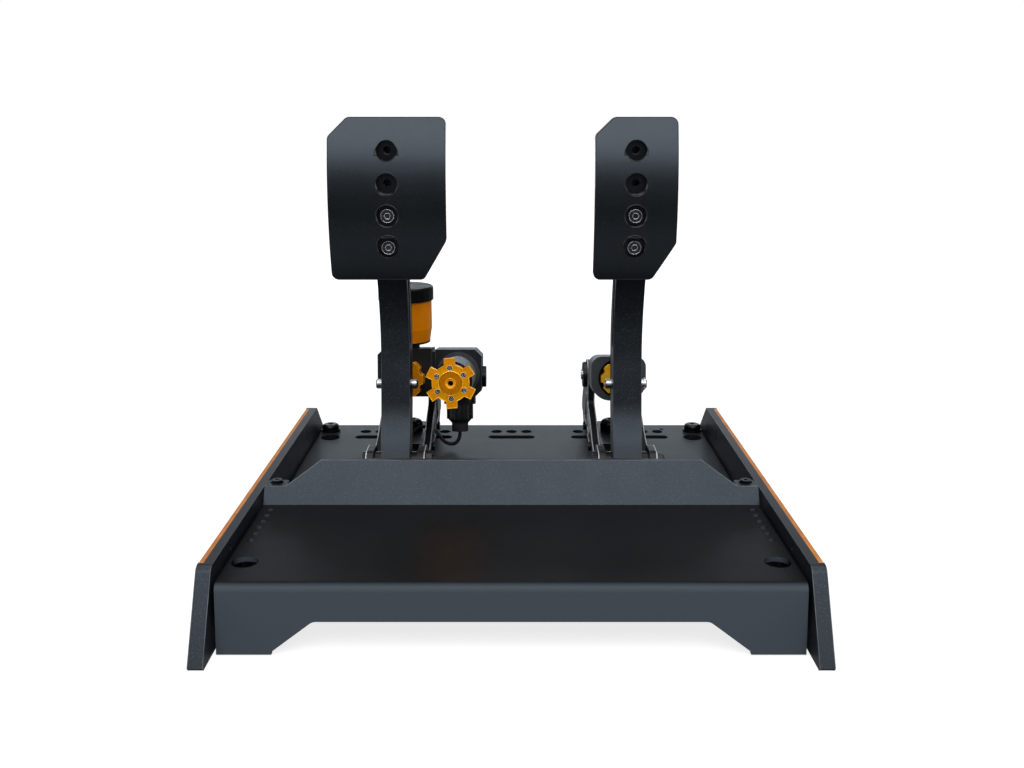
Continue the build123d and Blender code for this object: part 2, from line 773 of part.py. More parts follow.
def arm():
    """A pedal arm centred on x = 0, with its bore, rod slot and pad holes."""
    half = arm_width / 2
    body = plate_x(arm_outline(), -half, half)
    body += along_x(arm_boss_radius, -half, half, pivot_y, pivot_z)
    body -= along_x(pivot_radius + running_fit, -arm_width, arm_width, pivot_y, pivot_z)
    body -= along_x(pin_radius, -arm_width, arm_width, pin_y, pin_z)
    slot = outline([
        (eye_slot_front_y, eye_slot_low, play), (pin_y + arm_depth, eye_slot_low),
        (pin_y + arm_depth, eye_slot_high), (eye_slot_front_y, eye_slot_high, play),
    ])
    body -= plate_x(slot, -eye_slot_wide / 2, eye_slot_wide / 2)
    middle_y = pin_y + arm_depth / 8
    groove = outline([
        (middle_y - side_groove_wide / 2, side_groove_low, side_groove_wide * 0.45),
        (middle_y + side_groove_wide / 2, side_groove_low, side_groove_wide * 0.45),
        (middle_y, side_groove_high, side_groove_wide * 0.45),
        (middle_y - side_groove_wide, side_groove_high, side_groove_wide * 0.45),
    ])
    for side in (-1, 1):
        x0, x1 = sorted((side * (half - side_groove_deep), side * arm_width))
        body -= plate_x(groove, x0, x1)
    for z in pad_hole_zs:
        y = pad_back_y(z)
        body -= along_y(pad_screw_radius, y - pad_thick, y + pad_screw_bite, 0, z)
    return body


def cross_pin():
    """The pin through an arm, standing out on both sides."""
    reach = arm_width / 2 + pin_proud
    pin = along_x(pin_radius, -reach, reach, pin_y, pin_z)
    return chamfer(pin.edges().filter_by(GeomType.CIRCLE), pin_chamfer)


def pad_outline(left, right, top_cut, bottom_cut):
    """Front view of a pad in (x, z) with its two cut corners."""
    return outline([
        (left, pad_low, pad_corner), (right - bottom_cut[0], pad_low, pad_corner),
        (right, pad_low + bottom_cut[1], pad_corner), (right, pad_high, pad_corner),
        (left + top_cut[0], pad_high, pad_corner), (left, pad_high - top_cut[1], pad_corner),
    ])


pad_corner = 4.5
brake_pad_left = -121.3
brake_pad_right = -43.7
brake_top_cut = (12.5, 12.5)
brake_bottom_cut = (15.7, 26.7)
throttle_pad_left = 55.6
throttle_pad_right = 109.9
throttle_top_cut = (12.5, 11.6)
throttle_bottom_cut = (15.0, 25.0)


def pad(left, right, top_cut, bottom_cut, x):
    """A curved foot pad with four sunk holes."""
    bar = along_x(pad_front_radius, left - pad_thick, right + pad_thick, pad_arc_y, pad_arc_z)
    bar -= along_x(pad_back_radius, left - 2 * pad_thick, right + 2 * pad_thick, pad_arc_y,
                   pad_arc_z)
    rear = pad_back_y(pad_high) + pad_thick
    front = pad_arc_y - pad_front_radius - pad_thick
    body = plate_y(pad_outline(left, right, top_cut, bottom_cut), front, rear) & bar
    for z in pad_hole_zs:
        back = pad_back_y(z)
        face = pad_arc_y - sqrt(pad_front_radius ** 2 - (z - pad_arc_z) ** 2)
        body -= along_y(pad_screw_radius + bolt_play, face - pad_thick, back + pad_thick, x, z)
        body -= along_y(pad_hole_radius, face - pad_thick, face + pad_sink_deep, x, z)
        wide = pad_hole_radius + 2 * pad_hole_chamfer
        body -= cone_y(wide, pad_hole_radius, face - pad_hole_chamfer, face + pad_hole_chamfer, x, z)
    return body


def pad_screws(x):
    """The cap screws in a pad's two lower holes."""
    screws = []
    for z in pad_hole_zs[2:]:
        seat = pad_arc_y - sqrt(pad_front_radius ** 2 - (z - pad_arc_z) ** 2) + pad_sink_deep
        front = seat - pad_screw_head_high
        screw = along_y(pad_screw_head, front, seat, x, z)
        screw += along_y(pad_screw_radius, seat, pad_back_y(z) + pad_screw_bite, x, z)
        key = Pos(x, front, z) * Rot(90, 0, 0)
        screws.append(screw - key * hex_socket(pad_screw_head * pad_key_ratio,
                                               pad_screw_head_high * hex_key_depth_ratio))
    return screws


# Both cylinders: their own frame has its origin on the trunnion and runs rearward along Y
pin_reach = hypot(trunnion_y - pin_y, pin_z - trunnion_z)
cylinder_slope = degrees(atan2(pin_z - trunnion_z, trunnion_y - pin_y))
tongue_wide = 30.4            # rear part of a cylinder, between the bracket plates
tongue_half_high = 11.0
rod_radius = 4.0
eye_radius = 6.3
eye_wide = 8.8
brake_eye_play = 0.5
throttle_eye_play = 1.3
hub_head_radius = 7.5
hub_head_high = 3.5


def cylinder_place(x):
    """Carries a piece from a cylinder's own frame to its place in the tray."""
    return Pos(x, trunnion_y, trunnion_z) * Rot(-cylinder_slope, 0, 0)


def tongue(front):
    """The rear of a cylinder with its trunnion bore, in the cylinder's frame."""
    half = tongue_wide / 2
    body = block(-half, half, front, 0, -tongue_half_high, tongue_half_high)
    body += along_x(tongue_half_high, -half, half, 0, 0)
    return body


def trunnion_bolt(side):
    """The bolt a cylinder hangs on; its head is on the given side of the bracket."""
    bolt = along_x(hub_bolt_radius, -plate_outer, plate_outer, trunnion_y, trunnion_z)
    face = side * plate_outer
    head = face + side * hub_head_high
    bolt += along_x(hub_head_radius, face, head, trunnion_y, trunnion_z)
    key = Pos(head, trunnion_y, trunnion_z) * Rot(0, side * 90, 0)
    return bolt - key * hex_socket(hub_head_radius * hex_key_ratio,
                                   hub_head_high * hex_key_depth_ratio)


def rod_eye(eye_play):
    """The round rod end that goes over an arm's cross pin, in the cylinder's frame."""
    eye = along_x(eye_radius, -eye_wide / 2, eye_wide / 2, -pin_reach, 0)
    neck = along_y(rod_radius, -pin_reach, -pin_reach + 2 * eye_radius)
    bore = along_x(pin_radius + eye_play, -eye_wide, eye_wide, -pin_reach, 0)
    return eye + neck - bore


def lobed_disc(radius, notch_radius, count, y0, y1):
    """A hand wheel with rounded notches round its rim, along Y."""
    disc = along_y(radius, y0, y1)
    thick = y1 - y0
    cuts = []
    for i in range(count):
        angle = 2 * pi * (i + 0.5) / count
        reach = radius + notch_radius * notch_share
        cuts.append(along_y(notch_radius, y0 - thick, y1 + thick, reach * cos(angle),
                            reach * sin(angle)))
    return disc - cuts


notch_share = 0.45            # how far a notch's centre lies outside the rim

# Brake: the twin-bore block, in the brake cylinder's frame
block_front = -46.4
block_left_rear = -15.4
block_right_rear = -4.4
block_half_wide = 21.0
slave_x = 41.5
slave_z = 4.0
slave_half_wide = 17.8
block_low = -14.2
block_left_high = 23.2
block_right_high = 22.2
block_cut = 5.0
neck_drop = 1.4
master_bore_radius = 8.0
slave_bore_radius = 9.0
bore_end = -14.0
passage_y = -24.0
passage_radius = 2.0
ring_seat_deep = 3.0
collar_radius = 16.5          # light ring round the slave tube's rear end
collar_long = 5.5
tube_radius = 14.0
tube_bore = 12.9
tube_front = -136.0
tube_wall = 4.0               # thickness of the tube's front wall
knob_rear = -140.0
knob_front = -152.2
stem_radius = 7.0
stem_end = -128.0
plug_radius = 8.3
plug_proud = 3.2
plug_key_ratio = 0.468
plug_key_deep_ratio = 0.8
plug_deep = 6.0
plug_bore = 5.0
sleeve_radius = 11.0
sleeve_deep = 6.0
boss_radius = 10.0
boss_y = 117.0
boss_top = 107.6


def reservoir_x():
    """The reservoir stands over the master bore."""
    return -module_x


def brake_block():
    """Master and slave bores in one machined block, in the tray's frame."""
    half = block_half_wide
    cut = block_cut
    left = outline([
        (-half, block_low + 2 * cut), (-half + 2 * cut, block_low), (half, block_low),
        (half, block_left_high), (-half + cut, block_left_high), (-half, block_left_high - cut),
    ])
    body = plate_y(left, block_front, block_left_rear)
    x0 = slave_x - slave_half_wide
    x1 = slave_x + slave_half_wide
    right = outline([
        (x0, block_low), (x1 - cut, block_low), (x1, block_low + cut),
        (x1, block_right_high - cut), (x1 - cut, block_right_high), (x0, block_right_high),
    ])
    body += plate_y(right, block_front, block_right_rear)
    body += block(half - cut, x0 + cut, block_front + neck_drop, block_left_rear,
                  block_low + neck_drop, block_right_high - neck_drop)
    body += tongue(block_left_rear - cut)
    body -= along_x(hub_bolt_radius, -tongue_wide, tongue_wide, 0, 0)
    front = block_front - cut
    body -= along_y(master_bore_radius + running_fit, front, bore_end)
    body -= along_y(sleeve_radius + play, front, block_front + sleeve_deep)
    body -= along_y(slave_bore_radius + running_fit, front, bore_end, slave_x, slave_z)
    body -= along_y(collar_radius, front, block_front + ring_seat_deep, slave_x, slave_z)
    body -= along_x(passage_radius, 0, x1 + cut, passage_y, 0)
    body -= along_x(plug_bore, x1 - plug_deep, x1 + cut, passage_y, 0)
    body -= along_z(passage_radius, block_low - cut, 0, slave_x, passage_y)
    body = cylinder_place(-module_x) * body
    low = trunnion_z + block_left_high - cut
    body += along_z(boss_radius, low, boss_top, reservoir_x(), boss_y)
    return body - along_z(passage_radius, trunnion_z, boss_top + cut, reservoir_x(), boss_y)


def block_plug():
    """The hexagon-socket plug on the block's right face."""
    x1 = slave_x + slave_half_wide
    plug = along_x(plug_radius, x1, x1 + plug_proud, passage_y, 0)
    plug += along_x(plug_bore, x1 - plug_deep, x1, passage_y, 0)
    key = Pos(x1 + plug_proud, passage_y, 0) * Rot(0, 90, 0)
    return plug - key * hex_socket(plug_radius * plug_key_ratio, plug_proud * plug_key_deep_ratio)


# Brake: master piston, push rod and adjuster
ball_y = -45.0
ball_radius = 5.0
piston_front = -47.0
piston_long = 12.5
rod_nut_radius = 6.6
rod_nut_front = -87.0
rod_nut_long = 5.0
adjuster_radius = 15.5
adjuster_notch = 3.4
adjuster_count = 8
adjuster_front = -62.0
adjuster_rear = -47.6
adjuster_bore = 6.0
sleeve_bore = 8.6


def master_piston():
    """The master piston with the cup its push rod's ball sits in."""
    body = along_y(master_bore_radius, piston_front, piston_front + piston_long)
    cup = Pos(0, ball_y, 0) * Sphere(ball_radius + running_fit)
    mouth = along_y(ball_radius + running_fit, piston_front - ball_radius, ball_y)
    return body - cup - mouth


def brake_push_rod():
    """The rod between the arm's cross pin and the master piston."""
    rod = rod_eye(brake_eye_play)
    rod += along_y(rod_radius, -pin_reach + eye_radius, ball_y)
    return rod + Pos(0, ball_y, 0) * Sphere(ball_radius)


def rod_nut():
    """The lock nut on the brake's push rod."""
    face = RegularPolygon(rod_nut_radius, 6)
    nut = plate_y(face, rod_nut_front, rod_nut_front + rod_nut_long)
    return nut - along_y(rod_radius, rod_nut_front - rod_nut_long, rod_nut_front + 2 * rod_nut_long)


def brake_adjuster():
    """The hand wheel round the brake's push rod, with the sleeve that turns in the block."""
    wheel = lobed_disc(adjuster_radius, adjuster_notch, adjuster_count, adjuster_front,
                       adjuster_rear)
    wheel += along_y(sleeve_radius, adjuster_rear, block_front + sleeve_deep - play)
    wheel -= along_y(sleeve_bore, adjuster_rear - play, block_front + 2 * sleeve_deep)
    return wheel - along_y(adjuster_bore, adjuster_front - play, adjuster_rear)


# Brake: slave piston, rubber stack, tube and preload knob
slave_rear = -27.0
slave_long = 13.0
slave_stem_radius = 4.0
slave_disc_front = -54.0
slave_disc_thick = 3.0
slave_disc_radius = 12.4
rubber_radius = 11.6
rubber_bore = 3.0
rubber_long = 20.0
rubber_count = 3
knob_radius = 12.5
knob_lobe_radius = 16.9
knob_lobe_count = 6
knob_lobe_wide = 7.0
knob_lobe_first = 3.0         # how far the top lobe is turned from upright, in degrees
knob_lobe_inset = 2.4         # lobes are thinner than the knob's middle
knob_hub_radius = 8.1
knob_hub_step = 0.8
knob_hole_radius = 2.05
knob_hole_deep = 7.0
knob_hole_chamfer = 1.2
knob_rib_count = 5
knob_rib_deep = 0.35
knob_screw_ring = 10.4
knob_screw_radius = 1.0
knob_screw_head = 1.7
knob_screw_sink = 1.4
knob_screw_long = 6.0
knob_key_ratio = 0.5


def on_slave(shape):
    """Moves a piece built on the Y axis to the slave bore, in the tray's frame."""
    return cylinder_place(-module_x) * Pos(slave_x, 0, slave_z) * shape


def slave_piston():
    """The slave piston with its stem and the disc that presses on the rubbers."""
    body = along_y(slave_bore_radius, slave_rear - slave_long, slave_rear)
    body += along_y(slave_stem_radius, slave_disc_front, slave_rear - slave_long)
    return body + along_y(slave_disc_radius, slave_disc_front, slave_disc_front + slave_disc_thick)


def rubber_springs():
    """The rubber springs that take the brake's force, end to end."""
    rubbers = []
    for i in range(rubber_count):
        rear = slave_disc_front - i * rubber_long
        ring = along_y(rubber_radius, rear - rubber_long, rear)
        rubbers.append(ring - along_y(rubber_bore, rear - 2 * rubber_long, rear + play))
    return rubbers


def slave_collar():
    """The light ring let into the block round the slave tube."""
    y0 = block_front - collar_long
    y1 = block_front + ring_seat_deep
    return along_y(collar_radius, y0, y1) - along_y(tube_radius, y0 - play, y1 + play)


def slave_tube():
    """The tube round the rubber springs; the knob's stem goes in through its front wall."""
    rear = block_front + ring_seat_deep
    tube = along_y(tube_radius, tube_front, rear)
    tube -= along_y(tube_bore, tube_front + tube_wall, rear + play)
    return tube - along_y(stem_radius + play, tube_front - play, tube_front + 2 * tube_wall)


def knob_angles():
    """Directions of the knob's lobes, counted from the top, in radians."""
    return [radians(90 + knob_lobe_first + 360 * i / knob_lobe_count)
            for i in range(knob_lobe_count)]


def knob():
    """The six-lobed preload knob with its stem."""
    body = along_y(knob_radius, knob_front, knob_rear)
    thick = knob_rear - knob_front
    lobe_rear = knob_rear - knob_lobe_inset
    for angle in knob_angles():
        lobe = block(0, knob_lobe_radius, knob_front, lobe_rear, -knob_lobe_wide / 2,
                     knob_lobe_wide / 2)
        for i in range(knob_rib_count):
            z = knob_lobe_wide * ((i + 0.5) / knob_rib_count - 0.5)
            lobe -= along_y(knob_rib_deep, knob_front - thick, knob_rear + thick,
                            knob_lobe_radius, z)
        body += Rot(0, -degrees(angle), 0) * lobe
    body += along_y(knob_hub_radius, knob_front - knob_hub_step, knob_front)
    body += along_y(stem_radius, knob_rear, stem_end)
    front = knob_front - knob_hub_step
    body -= along_y(knob_hole_radius, front - play, front + knob_hole_deep)
    body -= cone_y(knob_hole_radius + knob_hole_chamfer, knob_hole_radius, front,
                   front + knob_hole_chamfer)
    for angle in screw_angles():
        x = knob_screw_ring * cos(angle)
        z = knob_screw_ring * sin(angle)
        body -= along_y(knob_screw_head, knob_front - play, knob_front + knob_screw_sink, x, z)
        body -= along_y(knob_screw_radius, knob_front - play, knob_front + knob_screw_long, x, z)
    return body


def screw_angles():
    """Directions of the knob's six small screws, in radians."""
    return knob_angles()


def knob_screws():
    """The six small cap screws in the knob's face."""
    screws = []
    for angle in screw_angles():
        x = knob_screw_ring * cos(angle)
        z = knob_screw_ring * sin(angle)
        seat = knob_front + knob_screw_sink
        screw = along_y(knob_screw_head, knob_front - play, seat, x, z)
        screw += along_y(knob_screw_radius, seat, knob_front + knob_screw_long, x, z)
        key = Pos(x, knob_front - play, z) * Rot(90, 0, 0)
        screws.append(screw - key * hex_socket(knob_screw_head * knob_key_ratio,
                                               knob_screw_sink * hex_key_depth_ratio))
    return screws


# Brake: pressure sensor under the slave bore and its cable
sensor_collar_radius = 12.6
sensor_collar_low = -21.6
sensor_nut_radius = 10.5
sensor_nut_low = -33.5
sensor_nut_ribs = 18
sensor_rib_radius = 0.8
sensor_taper_low = -37.0
boot_radius = 6.5
boot_top_ratio = 0.92         # the boot's top beside its nut
boot_low = -43.6
cable_radius = 1.4
cable_end_z = 22.0


def sensor_collar():
    """The hexagonal-edged collar of the pressure sensor."""
    collar = along_z(sensor_collar_radius, sensor_collar_low, block_low, slave_x, passage_y)
    return collar - along_z(passage_radius, sensor_collar_low / 2 + block_low / 2, block_low + play,
                            slave_x, passage_y)


def sensor_nut():
    """The ribbed coupling nut of the sensor's plug."""
    nut = along_z(sensor_nut_radius, sensor_nut_low, sensor_collar_low, slave_x, passage_y)
    for i in range(sensor_nut_ribs):
        angle = 2 * pi * i / sensor_nut_ribs
        nut -= along_z(sensor_rib_radius, sensor_nut_low - play, sensor_collar_low + play,
                       slave_x + sensor_nut_radius * cos(angle),
                       passage_y + sensor_nut_radius * sin(angle))
    return nut


def sensor_boot():
    """The tapered strain relief the cable comes out of."""
    boot = cone_z(boot_radius, sensor_nut_radius * boot_top_ratio, sensor_taper_low, sensor_nut_low,
                  slave_x, passage_y)
    return boot + along_z(boot_radius, boot_low, sensor_taper_low, slave_x, passage_y)


def under_boot(level):
    """A point on the sensor's axis at a level of the cylinder's frame, in the tray's frame."""
    slope = radians(cylinder_slope)
    y = trunnion_y + passage_y * cos(slope) + level * sin(slope)
    z = trunnion_z - passage_y * sin(slope) + level * cos(slope)
    return (slave_x - module_x, y, z)


# Corners of the cable's route after its first run out of the boot, as (x, y, z)
cable_first_run = 6.0
cable_corners = (
    (-45.8, 106.2, 28.2), (-53.6, 107.4, 29.6), (-59.4, 110.2, 37.4),
    (-67.4, 112.4, 41.6), (-75.0, 109.4, 41.8), (-79.4, 102.6, 38.0), (-80.0, 95.6, 34.0),
    (-80.0, 92.0, 28.4), (-80.0, 92.0, cable_end_z),
)
corner_share = 0.45           # how much of the shorter run a bend may use on each side


def cable_route():
    """The cable's corner points and bend radii."""
    first = [under_boot(boot_low), under_boot(boot_low - cable_first_run)]
    points = [Vector(*p) for p in first + list(cable_corners)]
    radii = []
    for i in range(1, len(points) - 1):
        back = points[i - 1] - points[i]
        ahead = points[i + 1] - points[i]
        half_turn = radians((180 - back.get_angle(ahead)) / 2)
        radii.append(corner_share * min(back.length, ahead.length) / tan(half_turn))
    return points, radii


def brake_cable():
    """The sensor's cable, swept along its route."""
    points, radii = cable_route()
    path = FilletPolyline(*points, radius=radii)
    section = Plane(origin=path @ 0, z_dir=path % 0) * Circle(cable_radius)
    cable = sweep(section, path)
    length = path.length
    print("cable: length %.1f mm, volume over section x length %.4f" % (
        length, cable.volume / (pi * cable_radius ** 2 * length)))
    print("cable radii:", [round(r, 1) for r in radii])
    return cable


# Brake: fluid reservoir on the block's boss
neck_flange_radius = 18.5
neck_flange_low = 110.5
body_low = 112.0
body_taper_z = 122.0
body_low_radius = 18.4
body_radius = 20.0
body_high = 144.0
body_wall = 2.5
flat_half_wide = 9.0
flat_corner = 8.1
flat_deep = 0.7
flat_low = 119.0
cap_radius = 21.6
cap_sides = 24
cap_high = 154.6
cap_plug_long = 5.0
cap_edge = 1.0


def reservoir_neck():
    """The black adapter between the block and the reservoir."""
    neck = along_z(boss_radius, boss_top, neck_flange_low)
    neck += along_z(neck_flange_radius, neck_flange_low, body_low)
    neck -= along_z(passage_radius, boss_top - play, body_low + play)
    return Pos(reservoir_x(), boss_y, 0) * neck


def reservoir_body():
    """The coloured cup with a shallow flat on its front."""
    cup = cone_z(body_low_radius, body_radius, body_low, body_taper_z)
    cup += along_z(body_radius, body_taper_z, body_high)
    cup -= along_z(body_radius - body_wall, body_low + body_wall, body_high + body_wall)
    cup -= along_z(passage_radius, body_low - play, body_low + 2 * body_wall)
    flat = outline([
        (-flat_half_wide, flat_low, flat_corner),
        (flat_half_wide, flat_low, flat_corner),
        (flat_half_wide, body_high + play), (-flat_half_wide, body_high + play),
    ])
    cup -= plate_y(flat, -2 * body_radius, -body_radius + 2 * flat_deep)
    return Pos(reservoir_x(), boss_y, 0) * cup


def reservoir_cap():
    """The faceted screw cap."""
    cap = plate_z(RegularPolygon(cap_radius, cap_sides), body_high, cap_high)
    top = cap.faces().sort_by(Axis.Z)[-1]
    cap = chamfer(top.edges(), cap_edge)
    cap += along_z(body_radius - body_wall - play, body_high - cap_plug_long, body_high)
    return Pos(reservoir_x(), boss_y, 0) * cap


# Throttle: cylinder, rod, spring and adjuster, in the throttle cylinder's frame
housing_front = -50.0
housing_wide_rear = -15.4
housing_half_wide = 21.0
housing_half_high = 17.0
housing_top_radius = 8.0
housing_low_radius = 14.5
mouth_radius = 15.6
mouth_deep = 9.0
spring_bore = 9.4
spring_seat = -6.5
wheel_radius = 13.4
wheel_notch = 3.0
wheel_count = 8
wheel_front_gap = 1.0
wheel_bore = 5.6
throttle_rod_end = -27.0
piston_disc_front = -39.4
piston_disc_thick = 3.0
spring_mean_radius = 6.6
spring_wire_radius = 0.9
spring_turns = 5
hub_cap_radius = 10.4
hub_cap_thick = 3.9
hub_cap_screw = 4.0
hub_cap_screw_high = 1.2
hub_key_ratio = 0.5
hub_key_deep_ratio = 0.7


def throttle_housing():
    """The throttle's rounded housing, open at the front."""
    wide = housing_half_wide
    high = housing_half_high
    face = outline([
        (-wide, -high, housing_low_radius), (wide, -high, housing_low_radius),
        (wide, high, housing_top_radius), (-wide, high, housing_top_radius),
    ])
    body = plate_y(face, housing_front, housing_wide_rear)
    body += tongue(housing_wide_rear - play)
    body -= along_x(hub_bolt_radius + running_fit, -tongue_wide, tongue_wide, 0, 0)
    body -= along_y(mouth_radius, housing_front - play, housing_front + mouth_deep)
    return body - along_y(spring_bore, housing_front - play, spring_seat)


def throttle_rod():
    """The throttle's rod with the disc that presses on the spring."""
    rod = rod_eye(throttle_eye_play)
    rod += along_y(rod_radius, -pin_reach + eye_radius, throttle_rod_end)
    rod += along_y(spring_bore - play, piston_disc_front, piston_disc_front + piston_disc_thick)
    bore = along_x(pin_radius + throttle_eye_play, -eye_wide, eye_wide, -pin_reach, 0)
    return rod - bore


def throttle_wheel():
    """The lobed adjuster in the housing's mouth."""
    front = housing_front + wheel_front_gap
    rear = housing_front + mouth_deep
    wheel = lobed_disc(wheel_radius, wheel_notch, wheel_count, front, rear)
    return wheel - along_y(wheel_bore, front - play, rear + play)


def throttle_spring():
    """The return spring: one wire wound round the rod, swept along joined arcs."""
    front = piston_disc_front + piston_disc_thick + spring_wire_radius
    rear = spring_seat - spring_wire_radius
    pitch = (rear - front) / spring_turns
    steps = spring_turns * 4

    def point(turn):
        angle = 2 * pi * turn
        return Vector(spring_mean_radius * cos(angle), front + pitch * turn,
                      spring_mean_radius * sin(angle))

    def heading(turn):
        angle = 2 * pi * turn
        around = 2 * pi * spring_mean_radius
        return Vector(-around * sin(angle), pitch, around * cos(angle)).normalized()

    arcs = []
    for i in range(steps):
        start, end = point(i / 4), point((i + 1) / 4)
        leave, arrive = heading(i / 4), heading((i + 1) / 4)
        gap = end - start
        both = leave + arrive
        spread = 2 * (1 - leave.dot(arrive))
        reach = (-gap.dot(both) + sqrt(gap.dot(both) ** 2 + spread * gap.dot(gap))) / spread
        near = start + leave * reach
        far = end - arrive * reach
        middle = (near + far) / 2
        arcs.append(TangentArc(start, middle, tangent=leave))
        arcs.append(TangentArc(middle, end, tangent=(far - near).normalized()))
    path = Wire(arcs)
    section = Plane(origin=point(0), z_dir=heading(0)) * Circle(spring_wire_radius)
    print("spring: least gap between curls %.2f mm" % (pitch - 2 * spring_wire_radius))
    return sweep(section, path)


def throttle_hub_cap():
    """The round black cap over the trunnion's inner end."""
    x1 = -plate_outer
    x0 = x1 - hub_cap_thick
    cap = along_x(hub_cap_radius, x0, x1, trunnion_y, trunnion_z)
    rim = cap.edges().filter_by(GeomType.CIRCLE).sort_by(Axis.X)[0]
    return chamfer(rim, edge_break) - along_x(hub_bolt_radius / 2, x0 - play, x1 + play, trunnion_y,
                                              trunnion_z)


def throttle_hub_screw():
    """The screw in the middle of that cap."""
    x1 = -plate_outer
    x0 = x1 - hub_cap_thick
    screw = along_x(hub_cap_screw, x0 - hub_cap_screw_high, x0, trunnion_y, trunnion_z)
    screw += along_x(hub_bolt_radius / 2, x0, x1, trunnion_y, trunnion_z)
    key = Pos(x0 - hub_cap_screw_high, trunnion_y, trunnion_z) * Rot(0, -90, 0)
    return screw - key * hex_socket(hub_cap_screw * hub_key_ratio,
                                      hub_cap_screw_high * hub_key_deep_ratio)


def write_tray():
    """The tray: panels, decks, kick plate, fasteners and control box."""
    for name, shape in (("side_panel", side_panel()), ("trim_strip", trim_strip())):
        right, left = both_sides(shape)
        save(right, name + "_right")
        save(left, name + "_left")
    save(rear_deck(), "rear_deck")
    save(heel_deck(), "heel_deck")
    save(kick_plate(), "kick_plate")
    save(joined([kick_post(side) for side in (-1, 1)]), "kick_plate_posts")
    save(joined([kick_screw(side) for side in (-1, 1)]), "kick_plate_screws")
    save(joined([deck_screw(side) for side in (-1, 1)]), "deck_screws")
    save(joined([deck_washer(side) for side in (-1, 1)]), "deck_washers")
    save(joined([deck_nut(side) for side in (-1, 1)]), "deck_nuts")
    save(joined([panel_screw(side, y) for side in (-1, 1) for y in panel_screw_ys]),
         "panel_screws")
    save(control_box(), "control_box")
    save(cable_grommet(), "cable_grommet")


def write_brackets():
    """Both brackets with their foot plates and arms, and the fasteners the two share."""
    places = [Pos(x, 0, 0) for _, x in module_sides()]
    for name, x in module_sides():
        place = Pos(x, 0, 0)
        save(place * bracket_plate(-1), name + "_plate_left")
        save(place * bracket_plate(1), name + "_plate_right")
        save(place * foot_plate(), name + "_foot_plate")
        save(place * arm(), name + "_arm")
        save(place * cross_pin(), name + "_cross_pin")
        save(joined(pad_screws(x)), name + "_pad_screws")
    save(joined([bolt for _, x in module_sides() for bolt in foot_bolts(x)]), "foot_bolts")
    save(joined([place * s for place in places for s in plate_screws()]), "plate_screws")
    save(joined([place * pivot_bolt() for place in places]), "pivot_bolts")
    save(joined([place * pivot_nut() for place in places]), "pivot_nuts")
    save(joined([place * s for place in places for s in pivot_spacers()]), "pivot_spacers")
    save(joined([place * trunnion_bolt(side) for place, side in zip(places, (-1, 1))]),
         "trunnion_bolts")
    save(pad(brake_pad_left, brake_pad_right, brake_top_cut, brake_bottom_cut, -module_x),
         "brake_pad")
    save(pad(throttle_pad_left, throttle_pad_right, throttle_top_cut, throttle_bottom_cut,
             module_x), "throttle_pad")


def write_brake():
    """The brake's hydraulics."""
    place = cylinder_place(-module_x)
    save(brake_block(), "brake_block")
    save(place * block_plug(), "brake_block_plug")
    save(place * master_piston(), "brake_master_piston")
    save(place * brake_push_rod(), "brake_push_rod")
    save(place * rod_nut(), "brake_rod_nut")
    save(place * brake_adjuster(), "brake_adjuster")
    save(on_slave(slave_piston()), "brake_slave_piston")
    save(joined([on_slave(s) for s in rubber_springs()]), "brake_rubbers")
    save(on_slave(slave_collar()), "brake_slave_collar")
    save(on_slave(slave_tube()), "brake_slave_tube")
    save(on_slave(knob()), "brake_knob")
    save(joined([on_slave(s) for s in knob_screws()]), "brake_knob_screws")
    save(place * sensor_collar(), "brake_sensor_collar")
    save(place * sensor_nut(), "brake_sensor_nut")
    save(place * sensor_boot(), "brake_sensor_boot")
    save(brake_cable(), "brake_cable")
    save(reservoir_neck(), "brake_reservoir_neck")
    save(reservoir_body(), "brake_reservoir_body")
    save(reservoir_cap(), "brake_reservoir_cap")


def write_throttle():
    """The throttle's spring cylinder."""
    place = cylinder_place(module_x)
    save(place * throttle_housing(), "throttle_housing")
    save(place * throttle_rod(), "throttle_rod")
    save(place * throttle_wheel(), "throttle_adjuster")
    save(place * throttle_spring(), "throttle_spring")
    save(Pos(module_x, 0, 0) * throttle_hub_cap(), "throttle_hub_cap")
    save(Pos(module_x, 0, 0) * throttle_hub_screw(), "throttle_hub_screw")


write_tray()
write_brackets()
write_brake()
write_throttle()
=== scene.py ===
# %% [markdown]
# # Sim racing pedal set
# A folded metal tray carries two pedals: a hydraulic brake on the left and a sprung throttle on
# the right. The CAD model already holds their forms at full size, so it stays where it is. This
# script gives each piece its surface, adds the fine pieces that catch the light, and sets the
# floor, the lights and the camera.

# %% Load the frame
import math

import bmesh
import bpy
from mathutils import Matrix, Vector


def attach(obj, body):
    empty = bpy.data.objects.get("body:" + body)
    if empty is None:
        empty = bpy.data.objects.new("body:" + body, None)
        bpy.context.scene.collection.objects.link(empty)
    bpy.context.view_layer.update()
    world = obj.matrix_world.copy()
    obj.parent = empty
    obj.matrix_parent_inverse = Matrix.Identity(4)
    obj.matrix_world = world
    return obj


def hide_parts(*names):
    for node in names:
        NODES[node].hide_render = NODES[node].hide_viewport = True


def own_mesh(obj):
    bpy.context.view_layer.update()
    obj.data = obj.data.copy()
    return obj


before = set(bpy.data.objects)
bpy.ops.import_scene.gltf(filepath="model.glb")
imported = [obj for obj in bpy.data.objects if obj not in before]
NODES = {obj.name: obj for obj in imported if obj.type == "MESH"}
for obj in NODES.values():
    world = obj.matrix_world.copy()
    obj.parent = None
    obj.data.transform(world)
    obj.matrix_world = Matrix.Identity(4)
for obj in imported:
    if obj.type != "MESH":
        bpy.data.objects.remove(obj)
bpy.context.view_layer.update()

# %% [markdown]
# ## Helpers for materials
# A colour picked from a swatch is an sRGB hex code, but a shader works in linear light, so one
# function turns it. A second adds a node, and a third fills in its inputs. Every pattern reads
# Object coordinates in metres, so a grain size in millimetres keeps its real size on each piece.


